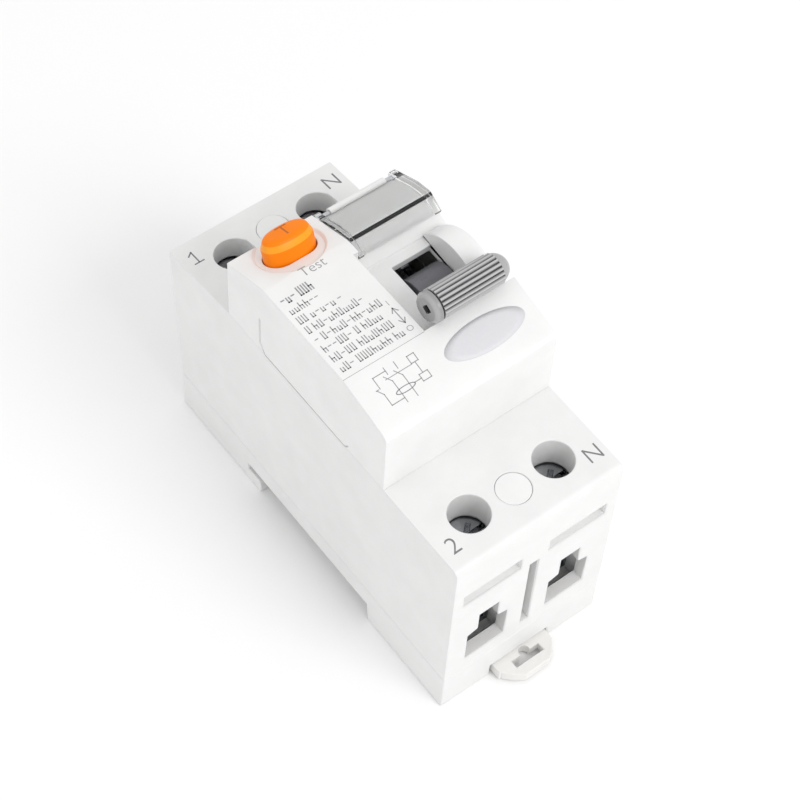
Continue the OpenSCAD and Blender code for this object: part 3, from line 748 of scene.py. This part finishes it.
class DEVICE_OT_button(bpy.types.Operator):
    """Orange test button with a paler slanted rim and a raised letter T"""

    bl_idname = "device.button"
    bl_label = "Test button"

    def execute(self, context):
        look = context.scene.device_button
        angle = np.linspace(0, 2 * math.pi, 96, endpoint=False)
        stem, top = 2 * MM, 3.92
        rim_low, rim_high = 2.2 * MM, 3.2 * MM
        levels = [(-10.6, stem, stem), (-6.05, stem, stem), (-6, look.width, look.depth)]
        for height, inset in [(1.8, 0), (2.0, 0.04), (2.15, 0.12), (3.25, 1.0), (3.45, 1.2), (3.65, 1.5),
                              (3.8, 2.0), (3.88, 2.8), (top, 3.8)]:
            levels.append((height, look.width - inset * MM, look.depth - inset * MM))
        rows = []
        for height, width, depth in levels:
            loop = oval(angle, width, depth)
            rows.append(np.column_stack([loop, np.full(len(angle), height * MM)]))
        middle, turn = ramp_place()
        button = ring_body("test_button_cap", np.array(rows) @ turn.T + middle)
        orange = moulded("button_plastic", look.colour, roughness=0.35, vary=0.05, shine=0.2)
        rim = moulded("button_rim", look.rim_colour, roughness=0.3, vary=0.05, shine=0.3)
        dress(button, "test_button", orange, rim)
        normal = turn @ Z_AXIS

        def rim_faces(at):
            height = (at - middle) @ normal
            return (height > rim_low) & (height < rim_high)

        paint_faces(button, rim_faces)
        sharpen(button, math.radians(50))
        mark = lettering("button_letter", "T", 3.0 * MM, 0.06 * MM)
        place = Matrix.Translation(Vector(middle + normal * top * MM)) @ Matrix(turn).to_4x4()
        mark.data.transform(place)
        attach(mark, "test_button", moulded("button_letter_plastic", scaled(look.colour, 0.5), vary=0.06))
        return {"FINISHED"}


def side_profile(node, above):
    """Heights along Y of a node's top outline, read from its corners on the left side above a level."""
    points = node_points(node)
    edge = points[(points[:, 0] < points[:, 0].min() + 0.01 * MM) & (points[:, 2] > above)]
    edge = edge[np.argsort(edge[:, 1])]
    return edge[:, 1], edge[:, 2]


def lettering(name, text, height, thickness):
    """Raised letters as a mesh, centred on the origin and reading along +X, with slightly thinned strokes."""
    capital_share = 0.72
    curve = bpy.data.curves.new(name, "FONT")
    curve.body = text
    curve.size = height / capital_share
    curve.offset = -0.011 * curve.size
    curve.extrude = thickness / 2
    curve.align_x = "CENTER"
    curve.align_y = "CENTER"
    curve.resolution_u = 6
    source = bpy.data.objects.new(name + "_source", curve)
    bpy.context.scene.collection.objects.link(source)
    bpy.context.view_layer.update()
    mesh = bpy.data.meshes.new_from_object(source.evaluated_get(bpy.context.evaluated_depsgraph_get()))
    bpy.data.objects.remove(source)
    mesh.name = name
    work = bmesh.new()
    work.from_mesh(mesh)
    bmesh.ops.remove_doubles(work, verts=work.verts, dist=0.001 * MM)
    bmesh.ops.recalc_face_normals(work, faces=work.faces)
    work.to_mesh(mesh)
    work.free()
    mesh.materials.clear()
    piece = bpy.data.objects.new(name, mesh)
    bpy.context.scene.collection.objects.link(piece)
    return piece


def sliced(piece, step):
    """Cuts flat work across at even steps of Y, so that it can bend over a crease."""
    work = bmesh.new()
    work.from_mesh(piece.data)
    ends = [corner.co.y for corner in work.verts]
    for level in np.arange(min(ends) + step / 2, max(ends), step):
        everything = list(work.verts) + list(work.edges) + list(work.faces)
        bmesh.ops.bisect_plane(work, geom=everything, plane_co=(0, level, 0), plane_no=(0, 1, 0))
    work.to_mesh(piece.data)
    work.free()
    return piece


def drape(piece, profile):
    """Lays flat work on the outline: each point's height grows by the outline's height at its Y."""
    points = np.empty(len(piece.data.vertices) * 3, np.float32)
    piece.data.vertices.foreach_get("co", points)
    points = points.reshape(-1, 3)
    points[:, 2] += np.interp(points[:, 1], *profile)
    piece.data.vertices.foreach_set("co", points.ravel())
    piece.data.update()
    return piece


def stroke(start, end, width, steps=6):
    """Rings of a flat bar between two points: each ring is a thin box section across the bar."""
    start, end = np.array(start, float) * MM, np.array(end, float) * MM
    along = unit(end - start)
    across = np.array([-along[1], along[0]]) * width / 2
    thick = 0.012 * MM
    share = np.linspace(0, 1, steps)[:, None]
    centre = start - along * width / 2 + share * (end - start + along * width)
    section = [(1, -thick), (1, thick), (-1, thick), (-1, -thick)]
    return np.stack([
        np.column_stack([centre + side * across, np.full(steps, height)]) for side, height in section], 1)


def ring_strokes(centre, width, depth, line):
    """Bars that go round an oval outline."""
    angle = np.linspace(0, 2 * math.pi, 25)
    loop = np.column_stack([centre[0] + width / 2 * np.cos(angle), centre[1] + depth / 2 * np.sin(angle)])
    return [stroke(first, last, line, steps=3) for first, last in zip(loop, loop[1:])]


def written_lines():
    """Stand-ins for lines of small print: groups of short upright bars and dashes, which spell nothing.
    Each line has its level, its right end and the height of its bars, in millimetres."""
    chance = np.random.default_rng(3)
    left, apart, advance, space = -16.9, 0.5, 1.02, 1.5
    bars = []
    lines = [(8.7, -9.9, 1.8), (6.2, -10.8, 1.45), (3.8, -7.7, 1.45), (1.45, -5.7, 1.45),
             (-0.9, -3.0, 1.45), (-3.15, -4.7, 1.45), (-5.5, -4.2, 1.45), (-7.9, -4.2, 1.45)]
    for row, (level, right, tall) in enumerate(lines):
        line = 0.27 * MM if row == 0 else 0.2 * MM
        foot, head = level - tall / 2, level + tall / 2
        at = left
        while at < right - apart:
            kind = chance.integers(0, 4)
            beside = at + apart
            if kind < 3:
                bar = level if kind == 1 else foot
                bars.append(stroke((at, foot), (at, head if kind else level + 0.1), line))
                bars.append(stroke((beside, foot), (beside, head if kind == 2 else level), line))
                bars.append(stroke((at, bar), (beside, bar), line))
            else:
                bars.append(stroke((at, level), (beside, level), line))
            at += advance if chance.random() > 0.12 else space
    return bars


def box_strokes(left, top, right, bottom, line):
    """Bars round an upright box."""
    corners = [(left, top), (right, top), (right, bottom), (left, bottom), (left, top)]
    return [stroke(first, last, line) for first, last in zip(corners, corners[1:])]


def wiring_symbol():
    """The usual wiring symbol: two poles with opening contacts, a ring core, a coil and the test branch."""
    line = 0.16 * MM
    bars = []
    for left in (-11.0, -8.9):
        bars += [stroke((left, -11.6), (left, -12.9), line), stroke((left, -14.2), (left, -18.4), line)]
        bars.append(stroke((left - 0.9, -12.9), (left, -14.2), line))
    bars += ring_strokes((-9.9, -16.4), 3.8, 1.0, line)
    bars += box_strokes(-6.6, -15.6, -4.9, -16.9, line)
    bars += [stroke((-8.0, -16.3), (-6.6, -16.3), line), stroke((-5.8, -15.6), (-5.8, -13.4), line)]
    bars += box_strokes(-6.5, -12.0, -5.1, -13.4, line)
    bars += [stroke((-11.9, -13.5), (-6.5, -13.5), line * 0.8)]
    bars += [stroke((-13.6, -12.2), (-13.6, -14.3), line), stroke((-13.6, -15.4), (-13.6, -17.6), line)]
    bars += [stroke((-13.6, -12.2), (-11.0, -12.2), line), stroke((-13.6, -17.6), (-11.0, -17.6), line)]
    bars += [stroke((-14.3, -14.3), (-13.6, -15.4), line), stroke((-14.4, -14.3), (-13.9, -14.3), line)]
    return bars


class DEVICE_OT_print(bpy.types.Operator):
    """Terminal marks, the test word, on and off marks, wiring symbol and stand-ins for the small print, with
    a thin line of painted shade along the nose's crease
    """

    bl_idname = "device.print"
    bl_label = "Printing"

    def execute(self, context):
        look = context.scene.device_print
        nose = side_profile("front_cover", NOSE_LEVEL)
        deck = side_profile("main_case", DECK_LEVEL)
        ink = printed("print_and_crease_shade_ink", look.ink)
        dark_ink = printed("mark_ink", look.mark_ink)
        marks = [
            ("terminal_mark_2", "2", (-15.1, -37.3), 1.0, deck, "main_case"),
            ("terminal_mark_n_load", "N", (15.3, -37.1), 1.0, deck, "main_case"),
            ("terminal_mark_n_supply", "N", (15.1, 37.3), 1.0, deck, "main_case"),
            ("test_word", "Test", (-8.4, 11.45), 0.62, nose, "front_cover"),
            ("off_mark", "O", (-2.7, -8.1), 0.36, nose, "front_cover"),
            ("on_mark", "I", (-2.7, -1.9), 0.36, nose, "front_cover"),
        ]
        for name, text, at, share, profile, node in marks:
            mark = lettering(name, text, look.letter_height * share, look.lift)
            mark.data.transform(Matrix.Translation((at[0] * MM, at[1] * MM, 0)))
            drape(sliced(mark, 0.3 * MM), profile)
            attach(mark, node, dark_ink if share == 1.0 else ink)
        line = 0.27 * MM
        one = [stroke((-15.1, 36.1), (-15.1, 39.0), line), stroke((-15.1, 39.0), (-16.0, 38.3), line),
               stroke((-16.0, 36.1), (-14.2, 36.1), line)]
        attach(drape(ring_bodies("terminal_mark_1", one), deck), "main_case", dark_ink)
        arrow = [stroke((-2.7, -3.3), (-2.7, -6.5), 0.2 * MM)]
        for tip, back in ((-3.1, -4.0), (-6.7, -5.8)):
            arrow += [stroke((-2.7, tip), (-2.7 + side, back), 0.2 * MM) for side in (-0.6, 0.6)]
        small_print = ring_bodies("small_print", written_lines() + wiring_symbol() + arrow)
        flat = np.zeros(len(small_print.data.polygons), bool)
        small_print.data.polygons.foreach_set("use_smooth", flat)
        attach(drape(small_print, nose), "front_cover", ink)
        # A thin line in the small-print ink along the crease at y = -10 mm: painted shade in the crease
        crease = ring_bodies("crease_painted_shade", [stroke((-17.9, -10.0), (-1.3, -10.0), 0.07 * MM)])
        attach(drape(crease, nose), "front_cover", ink)
        self.add_patch(look, nose)
        return {"FINISHED"}

    def add_patch(self, look, nose):
        """A plain pale oval: an ellipse filled by rings, thin and closed."""
        angle = np.linspace(0, 2 * math.pi, 120, endpoint=False)
        low, high = (-1.0, -18.5), (15.6, -12.5)
        centre = (np.array(low) + high) / 2 * MM
        half = (np.array(high) - low) / 2 * MM
        rows = []
        for share, level in [(0.02, -1), (0.25, -1), (0.5, -1), (0.75, -1), (1, -1),
                             (1, 1), (0.75, 1), (0.5, 1), (0.25, 1), (0.02, 1)]:
            loop = np.column_stack([np.cos(angle), np.sin(angle)]) * half * share + centre
            rows.append(np.column_stack([loop, np.full(len(angle), level * look.lift / 3)]))
        patch = drape(ring_body("plain_oval", np.array(rows)), nose)
        attach(patch, "front_cover", printed("oval_ink", look.patch, vary=0.015))


class DEVICE_OT_springs(bpy.types.Operator):
    """Coil springs of the clip, the handle, the contacts and the button"""

    bl_idname = "device.springs"
    bl_label = "Springs"

    def execute(self, context):
        zinc = context.scene.device_metal.zinc
        wire = plated("spring_wire", scaled(zinc, 1.05), roughness=0.2, crystals=0.2 * MM)
        low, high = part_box("clip_spring")
        axle = (low + high) / 2
        start = np.array([axle.x, low.y, axle.z])
        clip = helix_rows(
            start, Y_AXIS, Z_AXIS, radius=0.95 * MM, wire=0.2 * MM, length=high.y - low.y, turns=12)
        dress(ring_body("clip_coil", clip), "clip_spring", wire)
        low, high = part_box("handle_spring")
        start = np.array([low.x, PIVOT[1], PIVOT[2]])
        coil_radius = 1.65 * MM
        coil = helix_rows(
            start, X_AXIS, Y_AXIS, radius=coil_radius, wire=0.22 * MM, length=1.7 * MM, turns=3.25)
        foot = np.array([low.x + 1.48 * MM, PIVOT[1] + coil_radius, low.z])
        leg_path = np.linspace(foot, foot + Z_AXIS * (PIVOT[2] - low.z), 12)
        leg = tube_rows(leg_path, 0.18 * MM, X_AXIS, sides=10)
        dress(ring_bodies("handle_coil", [coil, leg]), "handle_spring", wire)
        self.add_contact_springs(wire)
        middle, turn = ramp_place()
        axis = turn @ Z_AXIS
        start = middle - axis * 8.7 * MM
        button = helix_rows(
            start, axis, X_AXIS, radius=1.7 * MM, wire=0.2 * MM, length=2.6 * MM, turns=4)
        dress(ring_body("button_coil", button), "button_spring", wire)
        return {"FINISHED"}

    def add_contact_springs(self, wire):
        """One coil behind each moving contact, along the contact arm's own tilted axis."""
        points = node_points("contact_springs")
        tilt = math.radians(-20)
        axis = np.array([0, math.cos(tilt), math.sin(tilt)])
        length = 2.1 * MM
        coils = []
        for side in (-1, 1):
            mine = points[points[:, 0] * side > 0]
            centre = (mine.min(0) + mine.max(0)) / 2
            coils.append(helix_rows(
                centre - axis * length / 2, axis, X_AXIS, radius=1.2 * MM, wire=0.2 * MM, length=length,
                turns=4))
        dress(ring_bodies("contact_coils", coils), "contact_springs", wire)


def thread_rows(centre, low_z, high_z, root, depth, pitch):
    """Rings of a threaded bar: the radius at height z and angle a is the root plus the depth times a
    triangle wave of z / pitch - a / full turn, which fades out at both ends."""
    angle = np.linspace(0, 2 * math.pi, 40, endpoint=False)
    height = np.linspace(low_z, high_z, int((high_z - low_z) / pitch * 8))[:, None]
    phase = (height / pitch - angle / (2 * math.pi)) % 1
    crest = 1 - 2 * np.abs(phase - 0.5)
    fade = np.clip(np.minimum(height - low_z, high_z - height) / pitch, 0, 1)
    radius = root + depth * crest * fade
    return np.stack([
        centre[0] + radius * np.cos(angle), centre[1] + radius * np.sin(angle), height + 0 * radius], -1)


class DEVICE_OT_terminals(bpy.types.Operator):
    """Threaded terminal screws and their clamp cages"""

    bl_idname = "device.terminals"
    bl_label = "Terminals"

    def execute(self, context):
        look = context.scene.device_metal
        bright = plated("screw_steel", scaled(look.zinc, 0.62), roughness=0.2, stretch=(1, 1, 0.2),
                        crystals=0.15 * MM)
        dull = plated("cage_steel_plate", (0.26, 0.31, 0.32), roughness=0.22, stretch=(5, 5, 0.4))
        head_height = 4.8 * MM
        for end in ("1", "n_supply", "2", "n_load"):
            node = "screw_" + end
            low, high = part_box(node)
            neck = high.z - head_height
            above_neck = (Vector((0, 0, neck)), Vector((0, 0, -1)))
            head = refined(node, 0.12 * MM, keep=above_neck, name="screw_head_" + end)
            dress(head, node, bright)
            centre = ((low.x + high.x) / 2, (low.y + high.y) / 2)
            rows = thread_rows(
                centre, low.z, neck + 0.05 * MM, root=2.05 * MM, depth=0.4 * MM, pitch=look.thread_pitch)
            thread = ring_body("screw_thread_" + end, rows)
            dress(sharpen(thread, math.radians(60)), node, bright)
            cage = "cage_" + end
            dress(refined(cage, 0.22 * MM), cage, dull)
        return {"FINISHED"}


class DEVICE_OT_mechanism(bpy.types.Operator):
    """Shafts, pins, link, frame plates and moulded levers of the switching mechanism"""

    bl_idname = "device.mechanism"
    bl_label = "Mechanism"

    def execute(self, context):
        zinc = context.scene.device_metal.zinc
        turned = plated("turned_steel", scaled(zinc, 1.05), roughness=0.22, stretch=(0.3, 5, 5))
        pressed = plated("pressed_steel", zinc, roughness=0.32, crystals=0.9 * MM)
        black = moulded("black_moulding", (0.035, 0.036, 0.04), roughness=0.38, vary=0.2)
        cream = moulded("lever_moulding", (0.66, 0.56, 0.34), roughness=0.42, vary=0.05)
        for node, finish, width in [
            ("handle_shaft", turned, 0.1), ("link_pin", turned, 0.08), ("carrier_shaft", turned, 0.1),
            ("trip_shaft", turned, 0.08), ("relay_plunger", turned, 0.1), ("case_screws", turned, 0.1),
            ("toggle_link", pressed, 0.12), ("mechanism_frame", pressed, 0.12),
            ("contact_carrier", black, 0.2), ("relay_case", black, 0.3), ("trip_lever", cream, 0.18),
        ]:
            dress(refined(node, width * MM), node, finish)
        return {"FINISHED"}


class DEVICE_OT_conductors(bpy.types.Operator):
    """Copper bars and contacts, flexible braids and sleeved wires"""

    bl_idname = "device.conductors"
    bl_label = "Copper and wires"

    def execute(self, context):
        copper = bare_copper("bare_copper", context.scene.device_metal.copper)
        for node in ("supply_bars", "load_bars", "moving_contacts", "test_strip", "test_contact"):
            dress(refined(node, 0.12 * MM), node, copper)
        self.add_braids(copper)
        self.add_wires()
        return {"FINISHED"}

    def add_braids(self, copper):
        """Each braid is nine strands that wind together round a core, close to a plain round bar's size."""
        lay_radius, turn = 0.82 * MM, 3 * math.pi
        points = node_points("braids")
        share = np.linspace(0, 1, 60)
        strands = []
        for side in (-1, 1):
            mine = points[points[:, 0] * side > 0]
            low, high = mine.min(0), mine.max(0)
            centre = (low + high) / 2
            for start in np.linspace(0, 2 * math.pi, 9, endpoint=False):
                angle = start + share * turn
                along = low[1] + share * (high[1] - low[1])
                path = np.column_stack([
                    centre[0] + lay_radius * np.cos(angle), along, centre[2] + lay_radius * np.sin(angle)])
                strands.append(tube_rows(path, 0.33 * MM, X_AXIS, sides=8))
            core = np.linspace([centre[0], low[1], centre[2]], [centre[0], high[1], centre[2]], 4)
            strands.append(tube_rows(core, 0.6 * MM, X_AXIS, sides=12))
        dress(ring_bodies("twisted_braids", strands), "braids", copper)

    def add_wires(self):
        """Each sleeved wire runs from its load bar through the ring core, with rounded bends."""
        low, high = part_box("conductors")
        level = low.z + 1.5 * MM
        pole = high.x - 1.65 * MM
        inner = 2.4 * MM
        entry, leave = -23.5 * MM, -5 * MM
        bodies = []
        for side in (-1, 1):
            corners = [
                (side * pole, low.y, level), (side * pole, entry, level), (side * inner, entry, level),
                (side * inner, leave, level), (side * pole, leave, level)]
            bodies.append(tube_rows(rounded_path(corners, 1.6 * MM), 1.48 * MM, Z_AXIS, sides=24))
            stub = np.linspace(
                (side * pole, leave - 0.4 * MM, level), (side * pole, high.y - 0.1 * MM, level), 4)
            bodies.append(tube_rows(stub, 1.45 * MM, Z_AXIS, sides=24))
        sleeve = moulded("wire_sleeve", (0.03, 0.09, 0.38), roughness=0.33, vary=0.08)
        dress(ring_bodies("sleeved_wires", bodies), "conductors", sleeve)


class DEVICE_OT_sensing(bpy.types.Operator):
    """Ring core of the current transformer and the fine wire wound on it"""

    bl_idname = "device.sensing"
    bl_label = "Current transformer"

    def execute(self, context):
        low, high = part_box("transformer_core")
        centre = np.array((low + high) / 2)
        core = coated_core("core_coat", (0.10, 0.105, 0.12), centre)
        dress(refined("transformer_core", 0.4 * MM), "transformer_core", core)
        outer, inner, half = (high.x - low.x) / 2, 6 * MM, (high.y - low.y) / 2
        bodies = [self.winding_rows(centre, outer, inner, half, first) for first in (-60, 60, 180)]
        winding = ring_bodies("wound_wire", bodies)
        dress(winding, "secondary_winding", enamelled("wire_enamel", (0.55, 0.17, 0.06)))
        return {"FINISHED"}

    def winding_rows(self, centre, outer, inner, half, first):
        """One stretch of winding: a point runs round the core's rounded box section again and again
        while it moves slowly round the ring."""
        turns, wire = 26, 0.24 * MM
        gap, sweep = 14, 92
        share = np.linspace(0, 1, turns * 16)
        spin = 2 * math.pi * turns * share
        reach = (outer - inner) / 2 + wire
        deep = half + wire
        corner = (np.abs(np.cos(spin)) ** 6 + np.abs(np.sin(spin)) ** 6) ** (-1 / 6)
        radius = (outer + inner) / 2 + reach * corner * np.cos(spin)
        along = deep * corner * np.sin(spin)
        angle = np.radians(first + gap + share * sweep)
        path = centre + np.column_stack([radius * np.cos(angle), along, radius * np.sin(angle)])
        outward = np.column_stack([-np.sin(angle), 0 * angle, np.cos(angle)])
        return tube_rows(path, wire, outward, sides=8)


class DEVICE_OT_electronics(bpy.types.Operator):
    """Circuit board, the parts on it and the test resistor"""

    bl_idname = "device.electronics"
    bl_label = "Electronics"

    def execute(self, context):
        zinc = context.scene.device_metal.zinc
        leads = plated("tinned_leads", scaled(zinc, 1.2), roughness=0.25, crystals=0.2 * MM)
        mask = laminate("solder_mask", (0.02, 0.16, 0.06))
        dress(refined("circuit_board", 0.1 * MM), "circuit_board", mask)
        body = moulded("resistor_coat", (0.52, 0.42, 0.25), roughness=0.3, vary=0.12)
        blue = moulded("capacitor_coat", (0.03, 0.10, 0.36), roughness=0.2, vary=0.1)
        black = moulded("chip_moulding", (0.03, 0.03, 0.032), roughness=0.45, vary=0.15)
        parts = dress(refined("board_parts", 0.1 * MM), "board_parts", blue, body, black, leads)

        capacitor_foot, chip_edge, body_end = 17 * MM, 4.9 * MM, 3.02 * MM

        def part_finish(at):
            low_down = at[:, 2] < capacitor_foot
            chip = low_down & (at[:, 1] > chip_edge)
            lead = low_down & ~chip & (np.abs(at[:, 1]) > body_end)
            return np.where(chip, 2, np.where(lead, 3, np.where(low_down, 1, 0)))

        paint_faces(parts, part_finish)
        resistor = dress(refined("test_resistor", 0.12 * MM), "test_resistor", body, leads)
        body_low, body_high = 25.98 * MM, 36.02 * MM
        paint_faces(resistor, lambda at: (at[:, 2] < body_low) | (at[:, 2] > body_high))
        return {"FINISHED"}


def area_light(name, place, aim, size, power):
    """A square soft light at a place, facing its aim."""
    light = bpy.data.lights.new(name, "AREA")
    light.size = size
    light.energy = power
    holder = bpy.data.objects.new(name, light)
    holder.location = place
    holder.rotation_mode = "QUATERNION"
    holder.rotation_quaternion = (Vector(aim) - Vector(place)).to_track_quat("-Z", "Y")
    bpy.context.scene.collection.objects.link(holder)


class DEVICE_OT_stage(bpy.types.Operator):
    """Pale floor, soft lights and the camera"""

    bl_idname = "device.stage"
    bl_label = "Stage"

    def execute(self, context):
        look = context.scene.device_stage
        self.add_floor()
        self.add_lights(context.scene, look)
        self.add_camera(context.scene, look)
        return {"FINISHED"}

    def add_floor(self):
        """A wide pale sheet just under the part."""
        half, level = 2.0, CAD_LOW[2] - 0.05 * MM
        corners = [(-half, -half, level), (half, -half, level), (half, half, level), (-half, half, level)]
        floor = mesh_piece("floor", corners, [(0, 1, 2, 3)])
        if floor.data.polygons[0].normal.z < 0:
            floor.data.flip_normals()
        paper, tree, shader = new_finish("floor_paper", (0.95, 0.95, 0.95), 0.9)
        clouds = noise(tree, object_point(tree), 0.3)
        tint_by(tree, shader, clouds, (0.945, 0.945, 0.945), (0.955, 0.955, 0.955))
        floor.data.materials.append(paper)

    def add_lights(self, scene, look):
        """White surroundings and one large soft light from above the front."""
        world = bpy.data.worlds.new("surroundings")
        world.use_nodes = True
        background = world.node_tree.nodes["Background"]
        background.inputs["Color"].default_value = (1, 1, 1, 1)
        background.inputs["Strength"].default_value = look.daylight
        scene.world = world
        area_light("key_light", place=(0.1, -0.55, 0.6), aim=look.aim, size=0.35, power=1.9)

    def add_camera(self, scene, look):
        """The camera looks at its aim from the azimuth and elevation, and is rolled about its own axis."""
        aim = Vector(look.aim)
        back = Vector((
            math.sin(look.azimuth) * math.cos(look.elevation),
            -math.cos(look.azimuth) * math.cos(look.elevation),
            math.sin(look.elevation)))
        right = Vector((0, 0, 1)).cross(back).normalized()
        up = back.cross(right)
        right_rolled = math.cos(look.roll) * right + math.sin(look.roll) * up
        up_rolled = math.cos(look.roll) * up - math.sin(look.roll) * right
        camera = bpy.data.objects.new("camera", bpy.data.cameras.new("camera"))
        camera.data.lens = look.lens
        camera.data.sensor_width = 36
        camera.data.clip_start = 0.01
        place = aim + back * look.distance
        camera.matrix_world = Matrix.Translation(place) @ Matrix(
            (right_rolled, up_rolled, back)).transposed().to_4x4()
        scene.collection.objects.link(camera)
        scene.camera = camera
        scene.view_settings.view_transform = "Standard"


OPERATORS = [
    DEVICE_OT_shells, DEVICE_OT_window, DEVICE_OT_handle, DEVICE_OT_button, DEVICE_OT_print,
    DEVICE_OT_springs, DEVICE_OT_terminals, DEVICE_OT_mechanism, DEVICE_OT_conductors,
    DEVICE_OT_sensing, DEVICE_OT_electronics, DEVICE_OT_stage,
]


class DEVICE_PT_panel(bpy.types.Panel):
    """Lists the steps that build the device"""

    bl_label = "Device"
    bl_idname = "DEVICE_PT_panel"
    bl_space_type = "VIEW_3D"
    bl_region_type = "UI"
    bl_category = "Device"

    def draw(self, context):
        for operator in OPERATORS:
            self.layout.operator(operator.bl_idname)


def register():
    """Registers the settings, operators and panel."""
    for name, settings in SETTINGS.items():
        bpy.utils.register_class(settings)
        setattr(bpy.types.Scene, name, bpy.props.PointerProperty(type=settings))
    for operator in OPERATORS + [DEVICE_PT_panel]:
        bpy.utils.register_class(operator)


def unregister():
    """Takes them away again."""
    for operator in [DEVICE_PT_panel] + OPERATORS[::-1]:
        bpy.utils.unregister_class(operator)
    for name, settings in SETTINGS.items():
        delattr(bpy.types.Scene, name)
        bpy.utils.unregister_class(settings)


def main():
    """Builds every piece."""
    register()
    for operator in OPERATORS:
        group, name = operator.bl_idname.split(".")
        getattr(getattr(bpy.ops, group), name)()
    bpy.context.view_layer.update()


if __name__ == "__main__":
    main()
